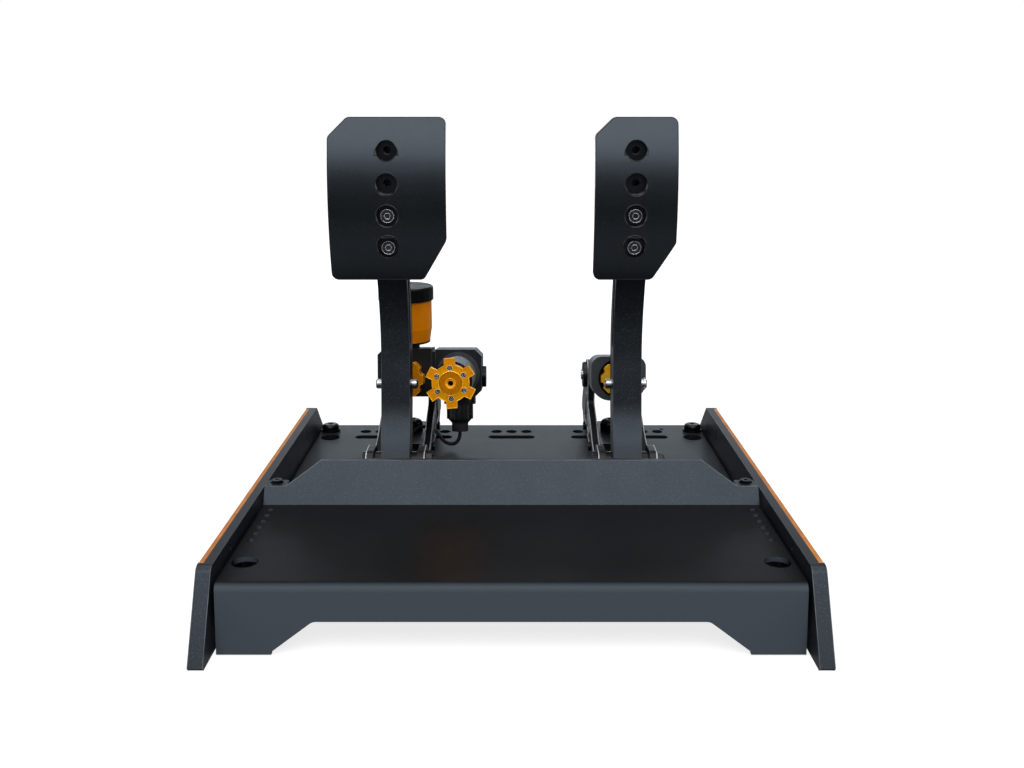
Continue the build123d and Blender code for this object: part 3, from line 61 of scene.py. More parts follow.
# %% Colour and node helpers
def rgb(code):
    """An sRGB hex colour as linear RGBA."""
    parts = [int(code[i:i + 2], 16) / 255 for i in (1, 3, 5)]
    return [p / 12.92 if p <= 0.04045 else ((p + 0.055) / 1.055) ** 2.4 for p in parts] + [1.0]


def per_mm(size_mm):
    """The texture scale at which one cell of a pattern is this many millimetres across."""
    return 1000 / size_mm


def feed(owner, node, values):
    """Sets a node's inputs, and links those whose value is another node's output."""
    for key, value in values.items():
        if hasattr(value, "links"):
            owner.node_tree.links.new(value, node.inputs[key])
        else:
            node.inputs[key].default_value = value


def add(owner, kind, values=None, out=0, **settings):
    """Adds one node, sets its fields, feeds its inputs and returns the output asked for."""
    node = owner.node_tree.nodes.new("ShaderNode" + kind)
    for field, value in settings.items():
        setattr(node, field, value)
    feed(owner, node, values or {})
    return node.outputs[out]


def start(name):
    """A new material with its Principled shader and Object coordinates."""
    mat = bpy.data.materials.new(name)
    mat.use_nodes = True
    return mat, mat.node_tree.nodes["Principled BSDF"], add(mat, "TexCoord", out="Object")


print("black, mid grey and white:", rgb("#000000")[0], rgb("#808080")[0], rgb("#ffffff")[0])

# %% [markdown]
# ## Powder coat
# The folded sheets, the pads and the arms are metal under a baked powder coat: tiny pebbles that
# scatter the highlight, a few paler flecks, and places rubbed a little smoother. A plain smooth
# gloss would be too sharp, so a bump of noise breaks up one satin highlight.


# %% Coated metal
def powder_coat(name, base, worn, fleck, pebble_mm, roughness, fleck_share, level,
                upright_highlight=None, foot_highlight=None):
    """A satin coat on metal: pebbles, flecks, slow changes of shade and faint rub marks.

    The real pebbles are about 0.3 mm across; they are drawn two to three times coarser to show.
    The upright colour is a painted highlight on faces turned to the driver, and the foot colour a
    painted highlight on a piece's lowest part.
    """
    mat, shader, where = start(name)
    slow = add(mat, "TexNoise", {"Vector": where, "Scale": per_mm(90), "Detail": 2.0,
                                 "Roughness": 0.5})
    faded = add(mat, "MapRange", {"Value": slow, "From Min": 0.35, "From Max": 0.65,
                                  "To Min": 0.0, "To Max": 0.6})
    shade = add(mat, "Mix", {0: faded, 6: rgb(base), 7: rgb(worn)}, out=2, data_type="RGBA")
    # Faces turned to the driver take a painted highlight.
    if upright_highlight:
        normal = add(mat, "TexCoord", out="Normal")
        facing = add(mat, "SeparateXYZ", {0: normal}, out="Y")
        forward = add(mat, "MapRange", {"Value": facing, "From Min": -0.95, "From Max": -0.3,
                                        "To Min": 1.0, "To Max": 0.0})
        shade = add(mat, "Mix", {0: forward, 6: shade, 7: rgb(upright_highlight)}, out=2,
                    data_type="RGBA")
    # The lowest part takes a painted highlight, paler towards the bottom.
    if foot_highlight:
        height = add(mat, "SeparateXYZ", {0: where}, out="Z")
        low = add(mat, "MapRange", {"Value": height, "From Min": 0.03, "From Max": 0.085,
                                    "To Min": 1.0, "To Max": 0.0})
        shade = add(mat, "Mix", {0: low, 6: shade, 7: rgb(foot_highlight)}, out=2, data_type="RGBA")
    spots = add(mat, "TexNoise", {"Vector": where, "Scale": per_mm(pebble_mm * 0.8),
                                  "Detail": 1.0, "Roughness": 0.5})
    specks = add(mat, "MapRange", {"Value": spots, "From Min": 0.6, "From Max": 0.74,
                                   "To Min": 0.0, "To Max": fleck_share})
    colour = add(mat, "Mix", {0: specks, 6: shade, 7: rgb(fleck)}, out=2, data_type="RGBA")
    smears = add(mat, "TexNoise", {"Vector": where, "Scale": per_mm(18), "Detail": 6.0,
                                   "Roughness": 0.7})
    rubbed = add(mat, "MapRange", {"Value": smears, "From Min": 0.42, "From Max": 0.7,
                                   "To Min": roughness - 0.012, "To Max": roughness + 0.02})
    pebbles = add(mat, "TexNoise", {"Vector": where, "Scale": per_mm(pebble_mm),
                                    "Detail": 2.0, "Roughness": 0.6})
    relief = add(mat, "Bump", {"Height": pebbles, "Strength": 0.3, "Distance": 0.06 / 1000})
    # The Specular Tint paints a faint cool blue into every highlight, the colour of the light
    # rather than of the coat.
    feed(mat, shader, {"Base Color": colour, "Roughness": rubbed, "Specular IOR Level": level,
                       "Specular Tint": rgb("#d3e4f6"), "Normal": relief})
    return mat


# %% [markdown]
# ## One coat for each kind of sheet
# The same powder looks different from piece to piece, in its shade, its grain and its shine. One
# material could serve them all, but the eye would miss those differences. So the same recipe is
# baked four times, and only its shades, its grain and its shine change; the heel deck's flange and
# the arms' foot also get a painted highlight.

# %% The four coats
# Side panels, lower deck and kick plate: blue-black and satin, the palest of the coats.
FRAME_COAT = powder_coat("powder_coat_frame", "#121417", "#1a1d21", "#5d646c", pebble_mm=0.9,
                         roughness=0.42, fleck_share=0.35, level=0.5)
# Heel deck: nearly black, with its front flange, turned to the driver, painted a lighter shade as
# a highlight for the light it reflects.
FLANGE_COAT = powder_coat("powder_coat_heel_deck", "#060708", "#0f1012", "#363b40",
                          pebble_mm=0.8, roughness=0.44, fleck_share=0.15, level=0.18,
                          upright_highlight="#484f58")
# Pads: the smoothest coat, so that their curve draws one bright band and one black one.
PAD_COAT = powder_coat("powder_coat_pads", "#040506", "#07080a", "#454c53", pebble_mm=0.8,
                       roughness=0.3, fleck_share=0.2, level=0.52)
# Arms: like the pads, with more grain to see; the foot is painted paler, a highlight for the key
# light that its upturned face reflects.
ARM_COAT = powder_coat("powder_coat_arms", "#07090b", "#0a0c0e", "#747c85", pebble_mm=0.7,
                       roughness=0.35, fleck_share=0.3, level=0.54, foot_highlight="#555c64")
print("coats:", [mat.name for mat in (FRAME_COAT, FLANGE_COAT, PAD_COAT, ARM_COAT)])

# %% [markdown]
# ## Machined and anodised metal
# The block, the wheels and the cylinders are aluminium turned or milled and then anodised, which
# leaves faint tool lines under a dyed, slightly uneven skin. The screws and pins are steel.
# Anisotropic shading could give the lines, but a light bump also works on faces of any shape.


# %% Anodised and bare metal
def machined(name, base, shade, roughness, metal, line_mm, line, level=0.5):
    """Metal with tool lines across it and blotches in its finish.

    line_mm is the space between the lines on a face square to an axis. Real tool lines are 0.1 to
    0.3 mm apart, too fine to show, so they are drawn ten to twenty times coarser. On the polished
    orange pieces they are 18 mm apart, and so only a slow wave in the shine.
    """
    mat, shader, where = start(name)
    # A diagonal wave is a sine of ten times x + y + z. So at scale 1 its bands on a flat face lie
    # 2 pi / (10 root 2) apart.
    wave_scale = 1000 * 2 * math.pi / (10 * math.sqrt(2) * line_mm)
    lines = add(mat, "TexWave", {"Vector": where, "Scale": wave_scale, "Distortion": 1.5,
                                 "Detail": 2.0}, out="Fac", wave_type="BANDS",
                bands_direction="DIAGONAL")
    cloud = add(mat, "TexNoise", {"Vector": where, "Scale": per_mm(9), "Detail": 4.0,
                                  "Roughness": 0.6})
    uneven = add(mat, "MapRange", {"Value": cloud, "From Min": 0.35, "From Max": 0.7})
    colour = add(mat, "Mix", {0: uneven, 6: rgb(base), 7: rgb(shade)}, out=2, data_type="RGBA")
    marks = add(mat, "TexNoise", {"Vector": where, "Scale": per_mm(3), "Detail": 5.0,
                                  "Roughness": 0.7})
    rough = add(mat, "MapRange", {"Value": marks, "From Min": 0.3, "From Max": 0.7,
                                  "To Min": roughness * 0.8, "To Max": roughness * 1.25})
    relief = add(mat, "Bump", {"Height": lines, "Strength": line, "Distance": 0.02 / 1000})
    feed(mat, shader, {"Base Color": colour, "Roughness": rough, "Metallic": metal,
                       "Specular IOR Level": level, "Normal": relief})
    return mat


FINE_LINES, MILLED_LINES, COARSE_LINES, POLISH_WAVE = 2.22, 3.55, 4.44, 17.8
print("tool lines in mm:", FINE_LINES, MILLED_LINES, COARSE_LINES, POLISH_WAVE)

# %% [markdown]
# ## The orange pieces
# Anodising grows a clear skin on aluminium that soaks up dye, so the metal still glows through
# it. Orange paint would look flat, and a pure metal would turn brown wherever it mirrors black.
# So each orange is part metal and part dye, with little mirror on top.

# %% Orange finishes
# Anodised knob and brake wheel: saturated, half metal and half dye.
ORANGE = machined("anodised_orange", "#ffa200", "#ff9600", 0.28, 0.55, POLISH_WAVE, 0.02, 0.1)
# A lighter copy of the same dye, a painted highlight: on edges that turn to the light, and on the
# throttle's wheel, lifting it out of the shade deep in its housing.
ORANGE_HIGHLIGHT = machined("anodised_orange_highlight", "#ffc530", "#ffb514", 0.3, 0.4, FINE_LINES, 0.04,
                       0.4)
# Reservoir cup: a duller bath of the same dye, with no mirror in it.
ORANGE_CUP = machined("anodised_orange_cup", "#ff9a00", "#ff9000", 0.34, 0.1, POLISH_WAVE, 0.02,
                      0.1)
# Strips let into the side panels: matt and browner, with coarse lines along them.
TRIM = machined("anodised_trim", "#d98a3f", "#bd7430", 0.5, 0.45, COARSE_LINES, 0.2)
print("orange finishes:", [mat.name for mat in (ORANGE, ORANGE_HIGHLIGHT, ORANGE_CUP, TRIM)])

# %% [markdown]
# ## The black, grey and steel pieces
# These differ by how they were cut and what was done after: dyed black, left grey, blackened in
# oil or ground bright. A single dark metal would merge them into one shape. So each starts from
# its own shade and shine, and a steel pin shows beside the black plate that holds it.

# %% Black, grey and steel finishes
# Black anodised aluminium of the plates, the block and the tubes: a soft grey sheen on black.
BLACK_METAL = machined("anodised_black", "#101215", "#171a1e", 0.36, 0.4, COARSE_LINES, 0.1)
# Grey anodised aluminium of the throttle's housing, and a darker one on the slave collar.
GREY_METAL = machined("anodised_grey", "#5f656a", "#4c5156", 0.36, 0.7, MILLED_LINES, 0.06)
COLLAR_GREY = machined("anodised_collar_grey", "#4d5257", "#3d4146", 0.34, 0.6, MILLED_LINES,
                       0.05)
# Ground steel pins and rods: a sharp white streak beside a dark one.
STEEL = machined("turned_steel", "#c9ccce", "#a9acaf", 0.22, 1.0, FINE_LINES, 0.06)
# Screws deep in the pads' holes: a darker steel, painted shade for the little light that reaches
# them.
SHADED_SCREW_STEEL = machined("screw_steel_painted_shade", "#54565a", "#3c3e42", 0.28, 1.0, FINE_LINES, 0.06)
# Black oxide on bolts, nuts and washers: an oily black with small highlights.
DARK_STEEL = machined("black_oxide_steel", "#131416", "#1c1d20", 0.26, 0.7, MILLED_LINES, 0.08)
# Chamfers cut back to bare metal, and painted highlights on the screws' rims; edges where the coat
# is rubbed thin, painted lighter also as a highlight; and a painted dark outline of shade along
# the pads' edges.
BRIGHT_CUT_AND_GLINT = machined("bright_cut_edge_and_glint", "#d0d3d6", "#b4b8bc", 0.3, 0.45, FINE_LINES, 0.06)
WORN_AND_LIT_EDGE = machined("worn_coat_edge_and_highlight", "#5d6268", "#44494f", 0.36, 0.8, FINE_LINES, 0.06)
PAD_EDGE_SHADE = machined("pad_edge_painted_shade", "#16191c", "#101214", 0.34, 0.3, MILLED_LINES, 0.04)
print("metals:", [mat.name for mat in (BLACK_METAL, GREY_METAL, COLLAR_GREY, STEEL, SHADED_SCREW_STEEL,
                                       DARK_STEEL, BRIGHT_CUT_AND_GLINT, WORN_AND_LIT_EDGE, PAD_EDGE_SHADE)])

# %% [markdown]
# ## The tilted axes
# Both cylinders slope down to the rear, about 10 degrees, from the pedal arm's cross pin to the
# trunnion bolt. Several finishes and pieces follow those axes, so they are worked out once.

# %% Places on the cylinders
MODULE_X = 0.0825               # each pedal's middle, left and right of the tray's middle
SLAVE_X, SLAVE_ABOVE = -0.041, 0.004     # the preload knob's axis, beside and above the brake's
TRUNNION_Y, TRUNNION_Z = 0.139, 0.078
SLOPE = math.atan2(17.5, 99.5)
ALONG = Vector((0, math.cos(SLOPE), -math.sin(SLOPE)))
UP = Vector((0, math.sin(SLOPE), math.cos(SLOPE)))


def on_axis(x, along, above):
    """A point at a distance along the slope from the trunnion, and square to it."""
    return Vector((x, TRUNNION_Y, TRUNNION_Z)) + ALONG * along + UP * above


print("slope in degrees:", round(math.degrees(SLOPE), 3))

# %% [markdown]
# ## Painted rings
# Light and shade on the knob and in the mouth of the housing's bore are painted as rings round the
# piece's own axis: a black bore, bright chamfers and rims, a dark groove. The rings could be cut
# as real grooves, but at less than half a millimetre deep they only change colour. So the distance
# from the axis, worked out with vector nodes, picks a colour from a ramp.


# %% Rings round a bore
RING_REACH = 0.016              # the radius, in metres, at the end of the colour ramp


def painted_rings(name, source, centre, rings):
    """A copy of a finish whose colour changes with the radius from a tilted axis, in metres."""
    mat = source.copy()
    mat.name = name
    where = add(mat, "TexCoord", out="Object")
    arm = add(mat, "VectorMath", {0: where, 1: centre}, operation="SUBTRACT")
    along = add(mat, "VectorMath", {0: arm, 1: ALONG}, out="Value", operation="DOT_PRODUCT")
    shift = add(mat, "VectorMath", {0: ALONG, "Scale": along}, operation="SCALE")
    flat = add(mat, "VectorMath", {0: arm, 1: shift}, operation="SUBTRACT")
    radius = add(mat, "VectorMath", {0: flat}, out="Value", operation="LENGTH")
    share = add(mat, "MapRange", {"Value": radius, "From Min": 0.0, "From Max": RING_REACH})
    colour = add(mat, "ValToRGB", {"Fac": share})
    steps = colour.node.color_ramp.elements
    while len(steps) < len(rings):
        steps.new(0.5)
    for step, (place, code) in zip(steps, rings):
        step.position = place / RING_REACH
        step.color = rgb(code)
    feed(mat, mat.node_tree.nodes["Principled BSDF"], {"Base Color": colour})
    return mat


# Knob: painted shade in a black bore, a painted highlight on its chamfer, a deeper orange dish,
# painted shade in a dark groove and a painted highlight on the rim.
KNOB_FACE = -0.146              # the knob's face, along the slope from the trunnion
KNOB_RINGS = ((0.0, "#050505"), (0.0020, "#060504"), (0.00224, "#ffc542"),
              (0.0029, "#f7a000"), (0.0035, "#d88400"), (0.0075, "#d07c00"),
              (0.0079, "#4a2c04"), (0.0083, "#ffb60a"), (0.0112, "#ffa800"), (0.016, "#ff9c00"))
KNOB_ORANGE = painted_rings("anodised_orange_knob", ORANGE,
                          on_axis(SLAVE_X, KNOB_FACE, SLAVE_ABOVE), KNOB_RINGS)
# Throttle housing: grey outside, with the shade in the mouth of its bore painted black round the
# orange wheel.
BORE_RINGS = ((0.0, "#050607"), (0.0148, "#050607"), (0.0151, "#5f656a"), (0.016, "#4c5156"))
BORED_METAL = painted_rings("anodised_grey_dark_bore", GREY_METAL, on_axis(MODULE_X, 0.0, 0.0),
                          BORE_RINGS)
print("rings on the knob:", len(KNOB_RINGS), "and on the housing:", len(BORE_RINGS))

# %% [markdown]
# ## Plastic and rubber
# The cap, the neck and the coupling nut are moulded in black plastic, and the boot, the cable and
# the grommet are rubber. Neither is a metal: a weak highlight lies on a black body. A fine noise
# gives the mould's grain, and a slow one the places that fingers have polished.


# %% Moulded pieces
def moulded(name, base, roughness, grain_mm, strength, level=0.5):
    """Plastic or rubber with a matt grain and a few shinier rubbed places.

    Real mould grain is about 0.1 to 0.2 mm; it is drawn three to five times coarser to show.
    """
    mat, shader, where = start(name)
    cloud = add(mat, "TexNoise", {"Vector": where, "Scale": per_mm(25), "Detail": 3.0,
                                  "Roughness": 0.5})
    dusty = add(mat, "MapRange", {"Value": cloud, "From Min": 0.3, "From Max": 0.7,
                                  "To Min": 0.0, "To Max": 0.35})
    colour = add(mat, "Mix", {0: dusty, 6: rgb(base), 7: rgb("#141517")}, out=2,
                 data_type="RGBA")
    touched = add(mat, "TexNoise", {"Vector": where, "Scale": per_mm(7), "Detail": 4.0,
                                    "Roughness": 0.5})
    rough = add(mat, "MapRange", {"Value": touched, "From Min": 0.3, "From Max": 0.7,
                                  "To Min": roughness - 0.08, "To Max": roughness + 0.06})
    grain = add(mat, "TexNoise", {"Vector": where, "Scale": per_mm(grain_mm), "Detail": 2.0,
                                  "Roughness": 0.5})
    relief = add(mat, "Bump", {"Height": grain, "Strength": strength, "Distance": 0.06 / 1000})
    feed(mat, shader, {"Base Color": colour, "Roughness": rough, "Specular IOR Level": level,
                       "Normal": relief})
    return mat


# Moulded plastic of the neck and the control box: a weak sheen.
PLASTIC = moulded("moulded_plastic_black", "#060708", 0.3, 0.6, 0.05, 0.2)
# The reservoir's cap, blacker still.
CAP_PLASTIC = moulded("moulded_cap_black", "#020304", 0.36, 0.6, 0.03, 0.12)
# Glossy plastic of the coupling nut, like nylon: bright streaks run down its flutes.
GLOSS_NYLON = moulded("glossy_nylon_black", "#0a0b0c", 0.24, 0.6, 0.02, 0.9)
# Soft rubber of the boot, cable and grommet: dull all over.
RUBBER = moulded("rubber_black", "#0b0c0d", 0.6, 0.4, 0.4)
# The orange rubber springs inside the brake.
SPRING_RUBBER = moulded("rubber_orange", "#b9661b", 0.55, 0.8, 0.3)
print("moulded:", [mat.name for mat in (PLASTIC, CAP_PLASTIC, GLOSS_NYLON, RUBBER,
                                        SPRING_RUBBER)])

# %% [markdown]
# ## Every CAD node gets its finish
# The frame's solids arrive with plain colours. Each finish lists the pieces that it covers on the
# real set. Fasteners that no list names are black oxide steel, and the rest is black anodised.

# %% Assign materials
FINISHES = (
    (FRAME_COAT, "side_panel_left side_panel_right rear_deck kick_plate"),
    (FLANGE_COAT, "heel_deck"),
    (PAD_COAT, "brake_pad throttle_pad"),
    (ARM_COAT, "brake_arm throttle_arm"),
    (TRIM, "trim_strip_left trim_strip_right"),
    (KNOB_ORANGE, "brake_knob"),
    (ORANGE, "brake_adjuster"),
    (ORANGE_HIGHLIGHT, "throttle_adjuster"),
    (ORANGE_CUP, "brake_reservoir_body"),
    (STEEL, "brake_cross_pin throttle_cross_pin throttle_rod brake_push_rod throttle_spring "
            "brake_master_piston brake_slave_piston throttle_hub_screw"),
    (SHADED_SCREW_STEEL, "brake_pad_screws throttle_pad_screws"),
    (DARK_STEEL, "kick_plate_posts"),
    (COLLAR_GREY, "brake_slave_collar"),
    (BORED_METAL, "throttle_housing"),
    (CAP_PLASTIC, "brake_reservoir_cap"),
    (PLASTIC, "brake_reservoir_neck control_box"),
    (GLOSS_NYLON, "brake_sensor_nut"),
    (RUBBER, "brake_sensor_boot brake_cable cable_grommet"),
    (SPRING_RUBBER, "brake_rubbers"),
)
FINISH_OF = {node: finish for finish, nodes in FINISHES for node in nodes.split()}
FASTENERS = ("screw", "bolt", "nut", "washer", "spacer", "plug")
for name, piece in NODES.items():
    usual = DARK_STEEL if any(word in name for word in FASTENERS) else BLACK_METAL
    for place in piece.material_slots:
        place.material = FINISH_OF.get(name, usual)
print("finishes given by name:", len(FINISH_OF), "of", len(NODES), "nodes")
print("names that match no node:", sorted(set(FINISH_OF) - set(NODES)))

# %% [markdown]
# ## Bright cut edges
# The plates and the arms are black, with their edges cut back to bare metal on the plates, and on
# the arms rubbed pale and painted lighter also as a highlight; those thin lines draw the pedals'
# outline. A Bevel modifier would cut the CAD solid, which must stay as it is. So the sharp edges
# of a copy become a curve, and its bevel lays a rail on them.


# %% Rails along sharp edges
SHARP_DEGREES = 35              # a smaller angle is the inside of a curve, not an edge
FLUSH = 0.0001                  # how near a point must be to a face to lie on it, in metres


def edge_rail(name, node, body, radius_mm, keep, material):
    """A thin rail along those sharp edges of a node whose ends both pass the keep test."""
    mesh = bmesh.new()
    mesh.from_mesh(NODES[node].data)
    bmesh.ops.remove_doubles(mesh, verts=mesh.verts, dist=0.00001)
    lines = bmesh.new()
    for edge in mesh.edges:
        if len(edge.link_faces) != 2 or math.degrees(edge.calc_face_angle(0)) <= SHARP_DEGREES:
            continue
        if all(keep(end.co) for end in edge.verts):
            lines.edges.new([lines.verts.new(end.co) for end in edge.verts])
    mesh.free()
    print(name, "edges:", len(lines.edges))
    bmesh.ops.remove_doubles(lines, verts=lines.verts, dist=0.00002)
    rail = bpy.data.meshes.new(name)
    lines.to_mesh(rail)
    lines.free()
    piece = bpy.data.objects.new(name, rail)
    bpy.context.collection.objects.link(piece)
    bpy.ops.object.select_all(action="DESELECT")
    piece.select_set(True)
    bpy.context.view_layer.objects.active = piece
    bpy.ops.object.convert(target="CURVE")
    piece.data.bevel_depth = radius_mm / 1000
    piece.data.bevel_resolution = 1
    piece.data.materials.append(material)
    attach(piece, body)


# %% [markdown]
# ## Rails on the plates and the arms
# Each bracket plate is cut from sheet and then chamfered, so a bright line runs all round both
# its faces. Taking every sharp edge would also draw those across its thickness. So a keep test
# names one face by its place, here a flat one at a known distance from the pedal's middle.

# %% Rails on the bracket plates and the arms
PLATE_OUTER, PLATE_INNER = 0.0206, 0.0156     # a plate's two faces, from its pedal's middle
ARM_HALF = 0.0100
DECK_CLEAR = 0.0262             # just above the lower deck, where the plates stand
BOSS_REAR = 0.045               # inner rails start behind the plates' front bosses
ARM_FOOT = 0.052                # lower than this, the arm is inside its bracket

for module, middle, body in (("brake", -MODULE_X, "brake_pedal"),
                             ("throttle", MODULE_X, "throttle_pedal")):
    for side, sign in (("left", -1), ("right", 1)):
        for place, reach, limit in (("outer", PLATE_OUTER, -1.0),
                                    ("inner", PLATE_INNER, BOSS_REAR)):
            edge_rail(f"{module}_plate_{side}_{place}_cut", f"{module}_plate_{side}", "base", 0.42,
                      lambda v, x=middle + sign * reach, least=limit: abs(v.x - x) < FLUSH
                      and v.z > DECK_CLEAR and v.y > least,
                      BRIGHT_CUT_AND_GLINT)
        # The arms' edges: coat rubbed thin, painted lighter also as a highlight.
        edge_rail(f"{module}_arm_{side}_edge", f"{module}_arm", body, 0.22,
                  lambda v, x=middle + sign * ARM_HALF: abs(v.x - x) < FLUSH
                  and v.z > ARM_FOOT and v.y < 0.2, WORN_AND_LIT_EDGE)

# %% [markdown]
# ## Edges of the pads, the tray, the block and the wheels
# The coat is rubbed thin on every fold and corner, and the rails there are painted lighter, also
# as a soft highlight; along the pads they are a painted dark outline of shade. Each keep test
# picks the face that the driver sees, because a rail in a bore would cut the piston inside it.


# %% Rails on the pads and the tray
KICK_Y, KICK_Z = -0.0585, 0.0398         # a point on the kick plate's leaning front face
KICK_LEAN = 6.4 / 10.4          # how far that face leans back for its height
HEEL_TOP = 0.0405
PAD_ARC_Y, PAD_ARC_Z, PAD_RADIUS = 0.1665, 0.219, 0.16
PANEL_OUTER, PANEL_INNER = 0.17, 0.162
PANEL_FRONT, PANEL_TOP = -0.16, 0.0474


def on_kick_face(v):
    """True on the kick plate's front face, above the heel deck."""
    return abs(v.y - KICK_Y - (v.z - KICK_Z) * KICK_LEAN) < 2 * FLUSH and v.z > HEEL_TOP


def on_pad_face(v):
    """True on the curved front face of a pad."""
    return abs(math.hypot(v.y - PAD_ARC_Y, v.z - PAD_ARC_Z) - PAD_RADIUS) < 1.5 * FLUSH


# Along the pads' edges, a painted dark outline of shade.
for module in ("brake", "throttle"):
    edge_rail(f"{module}_pad_edge", f"{module}_pad", f"{module}_pedal", 0.3, on_pad_face,
              PAD_EDGE_SHADE)
# Kick plate and side panels: coat rubbed thin on their edges, painted lighter also as a highlight.
edge_rail("kick_plate_edge", "kick_plate", "base", 0.25, on_kick_face, WORN_AND_LIT_EDGE)
for side, sign in (("left", -1), ("right", 1)):
    for place, x in (("outer", PANEL_OUTER), ("inner", PANEL_INNER)):
        edge_rail(f"side_panel_{side}_{place}_edge", f"side_panel_{side}", "base", 0.25,
                  lambda v, x=sign * x: abs(v.x - x) < FLUSH
                  and (v.y < PANEL_FRONT or v.z > PANEL_TOP), WORN_AND_LIT_EDGE)

# %% [markdown]
# ## Rails on the smaller pieces
# Screw heads, the brake block and the orange wheels have tiny chamfers, and the rails paint the
# bright dot or line of a highlight on each, on the block also a paler worn edge. A texture can't
# find an edge, but the same rails can, only thinner. Some of these pieces turn or slide, so each
# rail rides on the body of its own piece.

# %% Rails on the screws, the block and the orange wheels
SCREW_HEAD_REAR = 0.0215        # the pad screws' heads lie in front of this
BLOCK_LEFT, BLOCK_LOW = -0.0655, 0.06         # the block's part that shows beside the arm
BORE_CLEAR = 0.0168             # outside the slave bore's mouth and its chamfer
KNOB_REAR = -0.004              # only the knob's front part shows


def off_bore(v):
    """True outside the round mouths of the brake block's slave bore."""
    above = (v - on_axis(v.x, 0.0, 0.0)).dot(UP)
    return math.hypot(v.x - SLAVE_X, above - SLAVE_ABOVE) > BORE_CLEAR


# Painted highlights round the pad screws' heads and sockets.
for module in ("brake", "throttle"):
    edge_rail(f"{module}_pad_screw_edge", f"{module}_pad_screws", f"{module}_pedal", 0.13,
              lambda v: v.y < SCREW_HEAD_REAR, BRIGHT_CUT_AND_GLINT)
# The block's edges, painted paler as worn edges and also as a highlight.
edge_rail("brake_block_cut_edge", "brake_block", "base", 0.2,
          lambda v: v.x > BLOCK_LEFT and v.z > BLOCK_LOW and off_bore(v),
          WORN_AND_LIT_EDGE)
# Painted highlights on the knob screws' rims and sockets.
edge_rail("knob_screw_edge", "brake_knob_screws", "brake_preload", 0.12, lambda v: True,
          BRIGHT_CUT_AND_GLINT)
# Painted highlights on the knob's front edges.
edge_rail("knob_edge_highlight", "brake_knob", "brake_preload", 0.22, lambda v: v.y < KNOB_REAR,
          ORANGE_HIGHLIGHT)
# Painted highlights on the orange wheels' edges.
for module in ("brake", "throttle"):
    edge_rail(f"{module}_wheel_edge_highlight", f"{module}_adjuster", f"{module}_wheel", 0.2,
              lambda v: True, ORANGE_HIGHLIGHT)

# %% [markdown]
# ## The retaining clip
# A split ring in a groove near its right-hand end holds the throttle's cross pin. A torus would be
# round in section, but such rings are stamped from flat steel. So a flat profile is spun about
# the pin, and stopping short of a full turn leaves the gap through which it is pushed on.

# %% Clip
PIN_Y, PIN_Z = 0.0395, 0.0955
CLIP_OFFSET = 0.0132            # from the pedal's middle to the groove
CLIP_HALF, CLIP_INNER, CLIP_OUTER = 0.0005, 0.0032, 0.0044
CLIP_TURN, CLIP_GAP_AT = 300, 120       # degrees of ring, and where the ring begins

ring = bmesh.new()
corners = [ring.verts.new((x, 0, z)) for x, z in (
    (-CLIP_HALF, CLIP_INNER), (CLIP_HALF, CLIP_INNER),
    (CLIP_HALF, CLIP_OUTER), (-CLIP_HALF, CLIP_OUTER))]
profile = ring.faces.new(corners)
bmesh.ops.spin(ring, geom=[profile], cent=(0, 0, 0), axis=(1, 0, 0), dvec=(0, 0, 0),
               angle=math.radians(CLIP_TURN), steps=40, use_duplicate=False)
bmesh.ops.recalc_face_normals(ring, faces=ring.faces)
bmesh.ops.rotate(ring, verts=ring.verts, cent=(0, 0, 0),
                 matrix=Matrix.Rotation(math.radians(CLIP_GAP_AT), 3, "X"))
bmesh.ops.translate(ring, verts=ring.verts, vec=(MODULE_X + CLIP_OFFSET, PIN_Y, PIN_Z))
open_edges = sum(len(edge.link_faces) != 2 for edge in ring.edges)
clip_mesh = bpy.data.meshes.new("throttle_pin_clip")
ring.to_mesh(clip_mesh)
ring.free()
clip = bpy.data.objects.new("throttle_pin_clip", clip_mesh)
bpy.context.collection.objects.link(clip)
clip.data.materials.append(STEEL)
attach(clip, "throttle_pedal")
print("clip faces:", len(clip_mesh.polygons), "open edges:", open_edges)

# %% [markdown]
# ## The sensor's cable
# A thin rubber cable hangs in a loop from the boot and dives through the deck. The CAD tube has
# straight runs between rounded bends, which looks stiff. A NURBS curve on the same points bends
# all the way, and a round bevel gives it its thickness. The points are in millimetres, as in the
# CAD source.

# %% Cable
CABLE_RADIUS = 0.0014
CABLE_POINTS = [
    (-41.0, 107.81, 39.22), (-41.0, 106.77, 33.31), (-45.8, 106.2, 28.2), (-53.6, 107.4, 29.6),
    (-59.4, 110.2, 37.4), (-67.4, 112.4, 41.6), (-75.0, 109.4, 41.8), (-79.4, 102.6, 38.0),
    (-80.0, 95.6, 34.0), (-80.0, 92.0, 28.4), (-80.0, 92.0, 22.0),
]
cable_data = bpy.data.curves.new("sensor_cable", "CURVE")
cable_data.dimensions = "3D"
strand = cable_data.splines.new("NURBS")
strand.points.add(len(CABLE_POINTS) - 1)
for point, (x, y, z) in zip(strand.points, CABLE_POINTS):
    point.co = (x / 1000, y / 1000, z / 1000, 1)
strand.order_u = 3
strand.use_endpoint_u = True
strand.resolution_u = 12
cable_data.bevel_depth = CABLE_RADIUS
cable_data.bevel_resolution = 4
cable_data.materials.append(RUBBER)
cable = bpy.data.objects.new("sensor_cable", cable_data)
bpy.context.collection.objects.link(cable)
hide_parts("brake_cable")
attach(cable, "base")
print("cable length in metres:", round(strand.calc_length(), 4))

# %% [markdown]
# ## The throttle's spring
# One wound steel wire pushes the rod back out of its housing. The CAD model has a plain sleeve in
# its place. A helix worked out turn by turn is true to the wire, and it becomes a mesh because
# only a mesh can be squashed as the pedal goes down.

